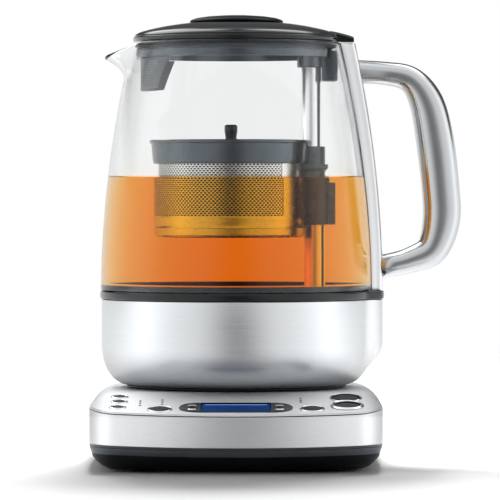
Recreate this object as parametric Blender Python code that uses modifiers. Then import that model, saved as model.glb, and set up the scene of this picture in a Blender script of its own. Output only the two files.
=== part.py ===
# Automatic tea maker: a power base with a sloping control panel, a glass jug on a steel bowl,
# a lid, and a tea basket that a belt in the spine lifts along a post.
# Metres, +Z up. The origin is the centre of the footprint, on the table.
# The spout points to -X, the handle to +X and the control panel to -Y.

import math

import bmesh
import bpy
from mathutils import Matrix, Vector

# Shared by all pieces
GAP = 0.0003
OVERRUN = 0.004
TINY = 0.00001

# Power base
BASE_WIDTH = 0.173
BASE_DEPTH = 0.204
BASE_TOP = 0.0437
BASE_CORNER = 0.016
LEAST_CORNER_SHARE = 0.25
FRONT_BOW = 0.009
SIDE_BOW = 0.003
SHELL_WALL = 0.0012
SIDE_ROLL = 0.0125
FRONT_ROLL = 0.0014
PANEL_DEPTH = 0.055
PANEL_DROP = 0.0108
TRAY_HEIGHT = 0.0146
TRAY_WALL = 0.002
TRAY_TAPER = 0.0105
FLOOR_LIFT = 0.0014
FOOT_RADIUS = 0.008
FOOT_STUD_RADIUS = 0.003
FOOT_INSET = 0.034
FRAME_THICKNESS = 0.002
FRAME_INSET = 0.012
POST_RADIUS = 0.0045
SCREW_RADIUS = 0.0015
SCREW_HEAD_RADIUS = 0.003
SCREW_HEAD_HEIGHT = 0.0008
SCREW_LENGTH = 0.014
GLAND_RADIUS = 0.0055
GLAND_LENGTH = 0.012
GLAND_BORE = 0.0034
GLAND_HEIGHT = 0.009

# Control panel
BOARD_THICKNESS = 0.0016
BOARD_DEPTH = 0.0092
BOARD_MARGIN = 0.002
SWITCH_SIZE = 0.005
BUTTON_RISE = 0.0008
BUTTON_SKIRT = 0.0011
BUTTON_FLANGE = 0.0007
BUTTON_STEM_RADIUS = 0.0015
BUTTON_TRAVEL = 0.001
BUTTON_EDGE = 0.0004
SMALL_BUTTON = 0.0049
MEDIUM_BUTTON = 0.0071
HOT_WATER_BUTTON = 0.0085
START_BUTTON = 0.0080
ARROW_BUTTON = 0.0027
ARROW_APART = 0.0074
ARROW_MARGIN = 0.002
RING_WIDTH = 0.0015
RING_RISE = 0.0009
LIGHT_RADIUS = 0.0007
LIGHT_RISE = 0.0003
DISPLAY_HEIGHT = 0.0185
BEZEL_END = 0.012
BEZEL_MARGIN = 0.0041
BEZEL_HEIGHT = 0.0215
BEZEL_RISE = 0.0003
BEZEL_LIP = 0.0012
BEZEL_FLANGE = 0.0015
DISPLAY_PLACE_SHARE = 0.6636

# Jug
JUG_BACK = 0.020
JUG_FOOT = 0.0022
BOWL_HEIGHT = 0.0509
BOWL_FOOT_RADIUS = 0.066
BOWL_ROUND_HEIGHT = 0.024
BOWL_WALL = 0.001
BOWL_FLANGE = 0.0108
BOWL_UNDER_RIM = 0.006
BUMP_REACH = 0.0068
BUMP_RISE = 0.0071
BUMP_BLEND = 0.017
BUMP_FLAT_ANGLE = 8.0
BUMP_FADE_ANGLE = 12.0
GASKET_HEIGHT = 0.0046
GASKET_PROUD = 0.0002
GASKET_LIP_HEIGHT = 0.0038
GASKET_LIP_THICKNESS = 0.0021
GLASS_HEIGHT = 0.1483
GLASS_FOOT_RADIUS = 0.0814
GLASS_RIM_RADIUS = 0.0629
GLASS_WALL = 0.0025
GLASS_STEP = 0.0006
GLASS_CURVE_SHARE = 1.88
SPOUT_HEIGHT = 0.024
SPOUT_REACH = 0.0164
SPOUT_DROP = 0.0095
SPOUT_HALF_ANGLE = 26.0
SPOUT_ROUND_SHARE = 1.6
SPOUT_FLARE_SHARE = 2.2
COVER_THICKNESS = 0.0016
RECESS_RADIUS = 0.029
RECESS_DEPTH = 0.002
CONNECTOR_FLANGE_RADIUS = 0.027
CONNECTOR_FLANGE = 0.001
CONNECTOR_RADIUS = 0.022
CONNECTOR_DEPTH = 0.012
HUB_RADIUS = 0.011
HUB_HEIGHT = 0.014
SOCKET_RADIUS = 0.020
SOCKET_FLANGE_RADIUS = 0.0245
SOCKET_FLANGE = 0.0015
SOCKET_CAP = 0.0015
PLATE_THICKNESS = 0.0015
ELEMENT_RADIUS = 0.045
ELEMENT_TUBE = 0.004
SENSOR_RADIUS = 0.009
SENSOR_HEIGHT = 0.006

# Spine and handle
SPINE_HALF_WIDTH = 0.012
SPINE_PROUD_LOW = 0.006
SPINE_PROUD_HIGH = 0.008
SPINE_WALL = 0.0012
SPINE_ROUND = 0.003
LINER_THICKNESS = 0.0008
LINER_HALF_WIDTH = 0.0096
HANDLE_LOW_MARGIN = 0.0075
HANDLE_HIGH_MARGIN = 0.0112
HANDLE_REACH = 0.0464
HANDLE_THICKNESS = 0.0228
HANDLE_WIDTH = 0.023
HANDLE_SCREW_RADIUS = 0.0013
HANDLE_SCREW_HEAD = 0.0025
HANDLE_SCREW_LENGTH = 0.013
UPPER_SCREW_MARGIN = 0.0083
LOWER_SCREW_MARGIN = 0.0043

# Lift drive
PULLEY_PITCH = 0.005
PULLEY_THICKNESS = 0.003
BELT_THICKNESS = 0.001
BELT_WIDTH = 0.0024
LOWER_PULLEY_DROP = 0.0128
UPPER_PULLEY_DROP = 0.010
MOTOR_RADIUS = 0.007
MOTOR_LENGTH = 0.020
MOTOR_PLATE = 0.0016
MOTOR_PLATE_HALF_WIDTH = 0.011
CARRIAGE_LENGTH = 0.012
CARRIAGE_THICKNESS = 0.0018
CARRIAGE_PLACE_SHARE = 0.3
LIFT_DOWN = 0.027
LIFT_UP = 0.036

# Lid
LID_OVERHANG = 0.0007
LID_EDGE_HEIGHT = 0.0032
LID_SHOULDER_HEIGHT = 0.0036
LID_SHOULDER_DEPTH = 0.0023
LID_DOME_HEIGHT = 0.0036
LID_DOME_DEPTH = 0.0135
LID_CROWN_HEIGHT = 0.0026
LID_CROWN_DEPTH = 0.0164
LID_WALL = 0.0022
KNOB_RADIUS = 0.028
KNOB_HEIGHT = 0.0036
KNOB_EDGE = 0.0012
TAIL_LENGTH = 0.0073
TAIL_HEIGHT = 0.0036
TAIL_HALF_WIDTH = 0.0115
COLLAR_PLAY = 0.0029
COLLAR_WALL = 0.0022
COLLAR_DEPTH = 0.0073
COLLAR_WEB = 0.0014
SEAL_REACH = 0.0022
SEAL_HEIGHT = 0.0024
SEAL_RISE = 0.0035
FILTER_DEPTH = 0.0215
FILTER_WALL = 0.0018
FILTER_LOW_ANGLE = 37.0
FILTER_HIGH_ANGLE = 47.0
BLOCK_DEPTH = 0.0157
BLOCK_HALF_WIDTH = 0.009
CUP_DROP = 0.0075
CUP_WALL = 0.0021
CUP_DEPTH = 0.0052

# Basket and post
POST_PLACE = 0.0447
ROD_RADIUS = 0.006
ROD_FOOT_RADIUS = 0.010
ROD_FOOT_HEIGHT = 0.003
SLEEVE_WALL = 0.0022
SLEEVE_ABOVE = 0.0037
SLEEVE_BELOW = 0.0366
CRADLE_FLANGE = 0.0022
MAGNET_BLOCK_DEPTH = 0.0118
MAGNET_BLOCK_HALF_WIDTH = 0.006
MAGNET_BLOCK_HEIGHT = 0.025
MAGNET_THICKNESS = 0.0022
MAGNET_MARGIN = 0.0022
BASKET_APART = 0.048
RIM_HEIGHT = 0.0141
RIM_LIP_PROUD = 0.0024
RIM_LIP = 0.0020
RIM_WALL = 0.0020
RIM_FIT = 0.0006
MESH_RADIUS = 0.0440
MESH_WALL = 0.0006
MESH_CLEARANCE = 0.0367
MESH_FOOT_HEIGHT = 0.0129
MESH_FOOT_DEPTH = 0.0040
MESH_HEIGHT = 0.0312
MESH_TOP_DROP = 0.0027
BASKET_LID_THICKNESS = 0.0015
BASKET_KNOB_RADIUS = 0.0039
BASKET_KNOB_HEIGHT = 0.010

# Heights, each worked up or down from the piece that carries it
BOWL_BOTTOM = BASE_TOP + JUG_FOOT
BOWL_TOP = BOWL_BOTTOM + BOWL_HEIGHT
BUMP_START = BOWL_BOTTOM + BUMP_RISE
GASKET_TOP = BOWL_TOP + GAP + GASKET_HEIGHT
GLASS_RIM = GASKET_TOP + GLASS_HEIGHT
SPOUT_START = GLASS_RIM - SPOUT_HEIGHT
SPINE_TOP = GLASS_RIM - GAP
HANDLE_LOW = GASKET_TOP + HANDLE_LOW_MARGIN
HANDLE_HIGH = GLASS_RIM - HANDLE_HIGH_MARGIN
UPPER_SCREW = HANDLE_HIGH - UPPER_SCREW_MARGIN
LOWER_SCREW = HANDLE_LOW + LOWER_SCREW_MARGIN
LOWER_PULLEY = BOWL_TOP - LOWER_PULLEY_DROP
UPPER_PULLEY = GLASS_RIM - UPPER_PULLEY_DROP
LID_EDGE = GLASS_RIM + LID_EDGE_HEIGHT
LID_SHOULDER = LID_EDGE + LID_SHOULDER_HEIGHT
LID_DOME = LID_SHOULDER + LID_DOME_HEIGHT
LID_TOP = LID_DOME + LID_CROWN_HEIGHT
KNOB_TOP = LID_TOP + KNOB_HEIGHT
COLLAR_BOTTOM = GLASS_RIM - COLLAR_DEPTH
MESH_FOOT = BOWL_TOP + MESH_CLEARANCE
MESH_BAND = MESH_FOOT + MESH_FOOT_HEIGHT
RIM_BOTTOM = MESH_BAND + MESH_HEIGHT
RIM_TOP = RIM_BOTTOM + RIM_HEIGHT
SLEEVE_BOTTOM = RIM_BOTTOM - SLEEVE_BELOW

# Radii, each worked in or out from the piece that it fits
BOWL_RADIUS = GLASS_FOOT_RADIUS - GLASS_STEP
LID_RADIUS = GLASS_RIM_RADIUS - LID_OVERHANG
LID_SHOULDER_RADIUS = LID_RADIUS - LID_SHOULDER_DEPTH
LID_DOME_RADIUS = LID_SHOULDER_RADIUS - LID_DOME_DEPTH
LID_CROWN_RADIUS = LID_DOME_RADIUS - LID_CROWN_DEPTH
COLLAR_RADIUS = GLASS_RIM_RADIUS - GLASS_WALL - COLLAR_PLAY
RIM_FOOT_RADIUS = MESH_RADIUS + RIM_WALL + RIM_FIT
RIM_LIP_RADIUS = RIM_FOOT_RADIUS + RIM_LIP_PROUD
MESH_FOOT_RADIUS = MESH_RADIUS - MESH_FOOT_DEPTH

# How finely round pieces are made
LARGE_SIDES = 44
MIDDLE_SIDES = 24
SMALL_SIDES = 16
FINE_SIDES = 12
LIGHT_SIDES = 8

# Colour, roughness, metallic
FINISHES = {
    "brushed_steel": ((0.62, 0.63, 0.64), 0.32, 1.0),
    "polished_steel": ((0.75, 0.75, 0.76), 0.12, 1.0),
    "mesh_steel": ((0.60, 0.58, 0.54), 0.30, 1.0),
    "black_plastic": ((0.012, 0.014, 0.017), 0.40, 0.0),
    "slate_plastic": ((0.045, 0.055, 0.065), 0.38, 0.0),
    "glass": ((0.93, 0.95, 0.95), 0.02, 0.0),
    "blue_display": ((0.02, 0.06, 0.32), 0.20, 0.0),
    "chrome": ((0.80, 0.80, 0.81), 0.08, 1.0),
    "dark_rubber": ((0.02, 0.02, 0.022), 0.75, 0.0),
    "silicone": ((0.16, 0.17, 0.18), 0.60, 0.0),
    "green_board": ((0.02, 0.12, 0.06), 0.50, 0.0),
    "magnet_steel": ((0.30, 0.30, 0.31), 0.35, 1.0),
    "red_light": ((0.75, 0.35, 0.30), 0.30, 0.0),
}


def clear_scene():
    for item in list(bpy.data.objects):
        bpy.data.objects.remove(item, do_unlink=True)


def new_collection(name):
    made = bpy.data.collections.new(name)
    bpy.context.scene.collection.children.link(made)
    return made


def finish(name):
    known = bpy.data.materials.get(name)
    if known:
        return known
    colour, roughness, metallic = FINISHES[name]
    made = bpy.data.materials.new(name)
    made.use_nodes = True
    shader = made.node_tree.nodes["Principled BSDF"]
    shader.inputs["Base Color"].default_value = (*colour, 1.0)
    shader.inputs["Roughness"].default_value = roughness
    shader.inputs["Metallic"].default_value = metallic
    if name == "glass":
        shader.inputs["Transmission Weight"].default_value = 1.0
    return made


def empty(name, location, rotation=(0.0, 0.0, 0.0), parent=None):
    made = bpy.data.objects.new(name, None)
    made.location = location
    made.rotation_euler = rotation
    made.parent = parent
    PARTS.objects.link(made)
    return made


def place(name, mesh, material, parent, location=(0.0, 0.0, 0.0), rotation=(0.0, 0.0, 0.0)):
    made = bpy.data.objects.new(name, mesh)
    made.location = location
    made.rotation_euler = rotation
    made.parent = parent
    if material is None:
        made.display_type = "WIRE"
        made.hide_render = True
        CUTTERS.objects.link(made)
    else:
        mesh.materials.clear()
        mesh.materials.append(finish(material))
        PARTS.objects.link(made)
    return made


def mesh_from(name, build):
    """A mesh filled by build(bm), with its faces turned outwards."""
    bm = bmesh.new()
    build(bm)
    bmesh.ops.recalc_face_normals(bm, faces=bm.faces)
    mesh = bpy.data.meshes.new(name)
    bm.to_mesh(mesh)
    bm.free()
    return mesh


def block(name, low, high, material, parent, bevel=0.0):
    """A box between two corners, with rounded edges if bevel is given."""
    middle = [(a + b) / 2 for a, b in zip(low, high)]
    size = [b - a for a, b in zip(low, high)]

    def build(bm):
        bmesh.ops.create_cube(bm, size=1.0)
        bmesh.ops.scale(bm, vec=size, verts=bm.verts)
        bmesh.ops.translate(bm, vec=middle, verts=bm.verts)

    made = place(name, mesh_from(name, build), material, parent)
    if bevel:
        modifier = made.modifiers.new("rounded edges", "BEVEL")
        modifier.width = bevel
        modifier.segments = 2
    return made


def rod(name, radius, low, high, material, parent, location=(0.0, 0.0, 0.0), rotation=(0.0, 0.0, 0.0),
        sides=SMALL_SIDES):
    """A cylinder along the local Z axis from low to high."""

    def build(bm):
        bmesh.ops.create_cone(bm, cap_ends=True, segments=sides, radius1=radius, radius2=radius,
                              depth=high - low, matrix=Matrix.Translation((0, 0, (low + high) / 2)))

    made = place(name, mesh_from(name, build), material, parent, location, rotation)
    made.data.shade_smooth()
    made.data.set_sharp_from_angle(angle=math.radians(40))
    return made


def screw_profile(made, sides):
    modifier = made.modifiers.new("turn", "SCREW")
    modifier.axis = "Z"
    modifier.angle = math.tau
    modifier.steps = sides
    modifier.render_steps = sides
    modifier.use_merge_vertices = True
    modifier.merge_threshold = TINY


def turned(name, profile, material, parent, location=(0.0, 0.0, 0.0), rotation=(0.0, 0.0, 0.0),
           sides=MIDDLE_SIDES, ring=False):
    """A profile of (radius, height) points, turned about Z. A ring's profile closes on itself."""
    points = [(radius, 0.0, height) for radius, height in profile]
    edges = [(i, i + 1) for i in range(len(points) - 1)]
    if ring:
        edges.append((len(points) - 1, 0))
    mesh = bpy.data.meshes.new(name)
    mesh.from_pydata(points, edges, [])
    made = place(name, mesh, material, parent, location, rotation)
    screw_profile(made, sides)
    return made


def bake(made):
    """Turns the object's evaluated shape into its own mesh."""
    view = bpy.context.evaluated_depsgraph_get()
    view.update()
    mesh = bpy.data.meshes.new_from_object(made.evaluated_get(view))
    mesh.name = made.name
    made.modifiers.clear()
    made.data = mesh
    return mesh


def thicken(made, thickness):
    modifier = made.modifiers.new("wall", "SOLIDIFY")
    modifier.thickness = thickness
    modifier.offset = -1.0


def cut(made, *cutters):
    for cutter in cutters:
        modifier = made.modifiers.new("cut", "BOOLEAN")
        modifier.operation = "DIFFERENCE"
        modifier.solver = "EXACT"
        modifier.object = cutter


def join(made, *others):
    for other in others:
        modifier = made.modifiers.new("join", "BOOLEAN")
        modifier.operation = "UNION"
        modifier.solver = "EXACT"
        modifier.object = other


def loft(name, sections, material, parent, cap_first=True, cap_last=True, loop=False,
         location=(0.0, 0.0, 0.0), rotation=(0.0, 0.0, 0.0), strip=False):
    """Sections of equal point counts, skinned in turn. A strip's sections are open lines."""

    def build(bm):
        rings = [[bm.verts.new(point) for point in section] for section in sections]
        count = len(rings[0])
        following = rings[1:] + ([rings[0]] if loop else [])
        for lower, upper in zip(rings, following):
            for i in range(count - 1 if strip else count):
                j = (i + 1) % count
                bm.faces.new((lower[i], lower[j], upper[j], upper[i]))
        if cap_first and not loop and not strip:
            bm.faces.new(list(reversed(rings[0])))
        if cap_last and not loop and not strip:
            bm.faces.new(rings[-1])

    made = place(name, mesh_from(name, build), material, parent, location, rotation)
    made.data.shade_smooth()
    made.data.set_sharp_from_angle(angle=math.radians(35))
    return made


def smooth_step(share):
    share = min(max(share, 0.0), 1.0)
    return share * share * (3 - 2 * share)


def quarter_round(start, end, steps):
    """Points of a quarter ellipse that leaves start along its radius and reaches end upright."""
    (r0, z0), (r1, z1) = start, end
    turns = [math.pi / 2 * i / steps for i in range(steps + 1)]
    return [(r0 + (r1 - r0) * math.sin(t), z0 + (z1 - z0) * (1 - math.cos(t))) for t in turns]


# Power base

def base_outline(inset, corner_steps=4, side_steps=4):
    """The base seen from above, drawn in by inset: straight sides with a slight bow, round corners."""
    half_width = BASE_WIDTH / 2
    half_depth = BASE_DEPTH / 2
    radius = max(BASE_CORNER - inset, BASE_CORNER * LEAST_CORNER_SHARE)
    width, depth = half_width - inset, half_depth - inset
    points = []
    for quarter in range(4):
        across = 1 if quarter in (0, 3) else -1
        along = 1 if quarter in (0, 1) else -1
        centre = Vector((across * (width - radius), along * (depth - radius)))
        for step in range(corner_steps + 1):
            turn = math.pi / 2 * (quarter + step / corner_steps)
            points.append(centre + radius * Vector((math.cos(turn), math.sin(turn))))
        last = points[-1].copy()
        length = (width if quarter in (0, 2) else depth) - radius
        way = Vector((0 if quarter % 2 else -across, 0 if quarter % 2 == 0 else -along))
        for step in range(1, side_steps):
            points.append(last + way * (2 * length * step / side_steps))
    bowed = []
    for point in points:
        x = point.x - math.copysign(SIDE_BOW, point.x) * (point.x / width) ** 2 * (point.y / depth) ** 2
        y = point.y - math.copysign(FRONT_BOW, point.y) * (point.y / depth) ** 2 * (point.x / width) ** 2
        bowed.append((x, y))
    return bowed


def panel_crease():
    """Where the flat top turns down into the control panel, in Y."""
    return -BASE_DEPTH / 2 + PANEL_DEPTH


def panel_slope():
    return math.atan2(PANEL_DROP, PANEL_DEPTH)


def make_base_shell():
    wall = base_outline(0.0)
    front = -BASE_DEPTH / 2
    sections = [[(x, y, TRAY_HEIGHT) for x, y in wall]]
    steps = 4
    for step in range(steps + 1):
        turn = math.pi / 2 * step / steps
        outline = []
        for index, (x, y) in enumerate(wall):
            # the roll is wide at the sides and rear and tight along the front edge
            frontness = smooth_step((front + 2 * BASE_CORNER - y) / (2 * BASE_CORNER))
            roll = SIDE_ROLL + (FRONT_ROLL - SIDE_ROLL) * frontness
            inner_x, inner_y = base_outline(roll * (1 - math.cos(turn)))[index]
            outline.append((inner_x, inner_y, BASE_TOP - roll * (1 - math.sin(turn))))
        sections.append(outline)
    shell = loft("base_shell", sections, "brushed_steel", BASE, cap_first=False)
    bm = bmesh.new()
    bm.from_mesh(shell.data)
    bmesh.ops.bisect_plane(bm, geom=bm.verts[:] + bm.edges[:] + bm.faces[:],
                           plane_co=(0, panel_crease(), 0), plane_no=(0, 1, 0))
    for vertex in bm.verts:
        if vertex.co.z > TRAY_HEIGHT + TINY:
            vertex.co.z -= max(panel_crease() - vertex.co.y, 0.0) * math.tan(panel_slope())
    if sum(face.normal.z for face in bm.faces) < 0:
        bmesh.ops.reverse_faces(bm, faces=bm.faces)
    bm.to_mesh(shell.data)
    bm.free()
    thicken(shell, SHELL_WALL)
    return shell


def tray_sections():
    drop = TRAY_HEIGHT - GAP - FLOOR_LIFT
    stages = ((0.0, 0.0), (0.35, 0.10), (0.7, 0.42), (0.92, 0.80), (1.0, 1.0))
    for down_share, in_share in stages:
        outline = base_outline(GAP + TRAY_TAPER * in_share)
        yield [(x, y, TRAY_HEIGHT - GAP - drop * down_share) for x, y in outline]


def make_bottom_tray():
    tray = loft("bottom_tray", list(tray_sections()), "black_plastic", BASE, cap_first=False)
    bm = bmesh.new()
    bm.from_mesh(tray.data)
    if sum(face.normal.z for face in bm.faces) > 0:
        bmesh.ops.reverse_faces(bm, faces=bm.faces)
    bm.to_mesh(tray.data)
    bm.free()
    thicken(tray, TRAY_WALL)
    return tray


def foot_places():
    across = BASE_WIDTH / 2 - FOOT_INSET
    along = BASE_DEPTH / 2 - FOOT_INSET
    return {"front_left": (-across, -along), "front_right": (across, -along),
            "rear_left": (-across, along), "rear_right": (across, along)}


def make_feet(tray):
    head = FLOOR_LIFT - GAP
    for name, (x, y) in foot_places().items():
        profile = [(0, FLOOR_LIFT + TRAY_WALL), (FOOT_STUD_RADIUS, FLOOR_LIFT + TRAY_WALL),
                   (FOOT_STUD_RADIUS, head), (FOOT_RADIUS, head), (FOOT_RADIUS - head / 4, 0), (0, 0)]
        turned(f"foot_{name}", profile, "dark_rubber", BASE, (x, y, 0), sides=SMALL_SIDES)
        cut(tray, rod(f"foot hole {name}", FOOT_STUD_RADIUS + GAP, FLOOR_LIFT - OVERRUN,
                      FLOOR_LIFT + TRAY_WALL + OVERRUN, None, BASE, (x, y, 0)))


def frame_screw_places():
    across = BASE_WIDTH / 2 - FRAME_INSET - 2 * POST_RADIUS
    return {"left": (-across, JUG_BACK), "right": (across, JUG_BACK)}


def make_inner_frame(tray):
    """The plate under the steel top that carries the connector, with a post down to each screw."""
    top = BASE_TOP - SHELL_WALL - GAP
    bottom = top - FRAME_THICKNESS
    floor = FLOOR_LIFT + TRAY_WALL + GAP
    outline = base_outline(max(FRAME_INSET, SIDE_ROLL), corner_steps=3, side_steps=4)
    edge = panel_crease() + 2 * FRAME_THICKNESS
    sections = [[(x, max(y, edge), z) for x, y in outline] for z in (bottom, top)]
    frame = loft("inner_frame", sections, "black_plastic", BASE)
    bm = bmesh.new()
    bm.from_mesh(frame.data)
    bmesh.ops.dissolve_degenerate(bm, dist=TINY, edges=bm.edges)
    bmesh.ops.remove_doubles(bm, verts=bm.verts, dist=TINY)
    bm.to_mesh(frame.data)
    bm.free()
    for name, (x, y) in frame_screw_places().items():
        join(frame, rod(f"frame post {name}", POST_RADIUS, floor, top - FRAME_THICKNESS / 2, None, BASE,
                        (x, y, 0)))
        cut(frame, rod(f"frame pilot {name}", SCREW_RADIUS + GAP, floor - OVERRUN,
                       floor + SCREW_LENGTH, None, BASE, (x, y, 0)))
        cut(tray, rod(f"tray hole {name}", SCREW_RADIUS + GAP, FLOOR_LIFT - OVERRUN,
                      FLOOR_LIFT + TRAY_WALL + OVERRUN, None, BASE, (x, y, 0)))
        head_top = FLOOR_LIFT - GAP
        profile = [(0, head_top + SCREW_LENGTH), (SCREW_RADIUS, head_top + SCREW_LENGTH),
                   (SCREW_RADIUS, head_top), (SCREW_HEAD_RADIUS, head_top),
                   (SCREW_HEAD_RADIUS, head_top - SCREW_HEAD_HEIGHT), (0, head_top - SCREW_HEAD_HEIGHT)]
        turned(f"base_screw_{name}", profile, "magnet_steel", BASE, (x, y, 0), sides=FINE_SIDES)
    hole = CONNECTOR_RADIUS + GAP
    cut(frame, rod("frame connector hole", hole, bottom - OVERRUN, top + OVERRUN, None, JUG_AXIS,
                   sides=MIDDLE_SIDES))
    return frame


def make_lower_connector(shell):
    """The round hub on the base that the jug drops onto."""
    seat = BASE_TOP + GAP
    top = seat + CONNECTOR_FLANGE
    profile = [(0, top + HUB_HEIGHT), (HUB_RADIUS - RING_WIDTH, top + HUB_HEIGHT),
               (HUB_RADIUS, top + HUB_HEIGHT - RING_WIDTH), (HUB_RADIUS, top),
               (CONNECTOR_FLANGE_RADIUS, top), (CONNECTOR_FLANGE_RADIUS, seat), (CONNECTOR_RADIUS, seat),
               (CONNECTOR_RADIUS, seat - CONNECTOR_DEPTH), (0, seat - CONNECTOR_DEPTH)]
    turned("lower_connector", profile, "black_plastic", JUG_AXIS)
    cut(shell, rod("connector hole", CONNECTOR_RADIUS + GAP, BASE_TOP - OVERRUN, BASE_TOP + OVERRUN,
                   None, JUG_AXIS, sides=MIDDLE_SIDES))


def make_cord_gland(tray):
    """The bush at the rear that the mains lead leaves through."""
    outside = BASE_DEPTH / 2 - GAP
    inside = BASE_DEPTH / 2 - GLAND_LENGTH
    place_and_turn = (0, 0, GLAND_HEIGHT), (math.pi / 2, 0, 0)
    profile = [(GLAND_RADIUS, -inside), (GLAND_RADIUS, -outside), (GLAND_BORE, -outside),
               (GLAND_BORE, -inside)]
    turned("cord_gland", profile, "black_plastic", BASE, *place_and_turn, sides=SMALL_SIDES, ring=True)
    cut(tray, rod("gland hole", GLAND_RADIUS + GAP, -outside - OVERRUN, -inside + OVERRUN, None, BASE,
                  *place_and_turn))


# Control panel

# Places are across from the middle, as a share of the base's width, and down the slope from the
# crease, as a share of the panel's depth
BUTTON_SHARES = {
    "program_button_1": (-0.3902, 0.1855), "program_button_2": (-0.3902, 0.4000),
    "program_button_3": (-0.3931, 0.6364), "tea_type_button": (-0.2526, 0.7255),
    "strength_button": (0.2543, 0.7055), "hot_water_button": (0.3682, 0.2400),
    "start_button": (0.3711, 0.5855),
}
BUTTON_KINDS = {
    "program_button_1": (SMALL_BUTTON, "chrome"), "program_button_2": (SMALL_BUTTON, "chrome"),
    "program_button_3": (SMALL_BUTTON, "chrome"), "tea_type_button": (MEDIUM_BUTTON, "black_plastic"),
    "strength_button": (MEDIUM_BUTTON, "black_plastic"),
    "hot_water_button": (HOT_WATER_BUTTON, "magnet_steel"), "start_button": (START_BUTTON, "magnet_steel"),
}
# Columns of lights: across, then the places down the slope
LIGHT_SHARES = {
    "indicator_lights_left": ((-0.3197, (0.3727, 0.4655, 0.5582)), (-0.2462, (0.3309, 0.4145, 0.5073))),
    "indicator_lights_right": ((0.2162, (0.2655, 0.3473, 0.4255)),),
}
# Arrow buttons: to the left or right of the display, and above or below its middle
ARROWS = {"temperature_up_button": (-1, -1), "temperature_down_button": (-1, 1),
          "time_up_button": (1, -1), "time_down_button": (1, 1)}


def display_place():
    """The display's middle, down the slope from the crease."""
    return DISPLAY_PLACE_SHARE * PANEL_DEPTH


def bezel_half_width():
    """The bezel fills the room between the two medium buttons."""
    return BASE_WIDTH * -BUTTON_SHARES["tea_type_button"][0] - MEDIUM_BUTTON - BEZEL_MARGIN


def display_half_width():
    return bezel_half_width() - BEZEL_END


def button_places():
    """Places of the buttons in the steel: across, and down the slope."""
    return {name: (BASE_WIDTH * across, PANEL_DEPTH * down) for name, (across, down) in BUTTON_SHARES.items()}


def make_button(name, across, down, radius, material, carrier, carrier_depth):
    """A button with a flange under the piece that carries it and a stem down to its switch."""
    top = BUTTON_RISE
    below = -carrier_depth - BUTTON_TRAVEL / 2
    foot = below - BUTTON_SKIRT
    stem = min(-BOARD_DEPTH + SWITCH_SIZE / 2 + BUTTON_TRAVEL + GAP, foot - GAP)
    profile = [(0, top), (radius - BUTTON_EDGE, top), (radius, top - BUTTON_EDGE), (radius, below),
               (radius + BUTTON_FLANGE, below), (radius + BUTTON_FLANGE, foot),
               (BUTTON_STEM_RADIUS, foot), (BUTTON_STEM_RADIUS, stem), (0, stem)]
    sides = FINE_SIDES if radius < MEDIUM_BUTTON else SMALL_SIDES
    where = (across, -down, 0)
    turned(name, profile, material, PANEL, where, sides=sides)
    if name == "start_button":
        ring = [(radius + GAP + RING_WIDTH, RING_RISE), (radius + GAP + RING_WIDTH, GAP),
                (radius + GAP, GAP), (radius + GAP, RING_RISE)]
        turned("start_button_ring", ring, "chrome", PANEL, where, sides=sides, ring=True)
    cut(carrier, rod(f"hole {name}", radius + GAP, -OVERRUN, OVERRUN, None, PANEL, where, sides=sides))


def make_buttons(shell, bezel):
    for name, (across, down) in button_places().items():
        make_button(name, across, down, *BUTTON_KINDS[name], shell, SHELL_WALL)
    for name, (side, row) in ARROWS.items():
        across = side * (display_half_width() + ARROW_MARGIN + ARROW_BUTTON)
        down = display_place() + row * ARROW_APART / 2
        make_button(name, across, down, ARROW_BUTTON, "chrome", bezel, SHELL_WALL + BEZEL_LIP)


def bezel_outline(grow, steps=6):
    """A lens shape: straight along the display and rounded to a point at each end."""
    half_height = BEZEL_HEIGHT / 2 + grow
    half_straight = display_half_width()
    end = BEZEL_END + grow
    quarter = [math.pi / 2 * i / steps for i in range(steps + 1)]
    right = [(half_straight + end * math.sin(t), half_height * math.cos(t) ** 0.8) for t in quarter[:-1]]
    right.append((half_straight + end, 0.0))
    upper = right
    lower = [(x, -y) for x, y in reversed(right[:-1])]
    half = upper + lower
    return half + [(-x, -y) for x, y in half]


def panel_plate(name, outlines, material):
    """A plate in the panel's plane, lofted through (outline, height) pairs."""
    sections = [[(x, y - display_place(), z) for x, y in outline] for outline, z in outlines]
    return loft(name, sections, material, PANEL)


def make_display(shell):
    """Bezel set in the steel, clear window, and the display module behind it."""
    lip_top = -SHELL_WALL - GAP
    outlines = [(bezel_outline(BEZEL_FLANGE), lip_top - BEZEL_LIP), (bezel_outline(BEZEL_FLANGE), lip_top),
                (bezel_outline(0.0), lip_top), (bezel_outline(0.0), BEZEL_RISE)]
    bezel = panel_plate("display_bezel", outlines, "slate_plastic")
    cut(shell, panel_plate("bezel hole", [(bezel_outline(GAP), -OVERRUN), (bezel_outline(GAP), OVERRUN)],
                           None))
    half_width = display_half_width() - 2 * GAP
    half_height = DISPLAY_HEIGHT / 2
    back = lip_top - BEZEL_LIP

    def corners(grow, low, high):
        return ((-half_width - grow, -display_place() - half_height - grow, low),
                (half_width + grow, -display_place() + half_height + grow, high))

    cut(bezel, block("window hole", *corners(GAP, back - OVERRUN, OVERRUN), None, PANEL))
    block("display_window", *corners(0.0, back + GAP, BEZEL_RISE - GAP), "blue_display", PANEL)
    module = corners(0.0, -BOARD_DEPTH + GAP, back - GAP)
    block("display_module", *module, "magnet_steel", PANEL)
    return bezel


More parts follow.
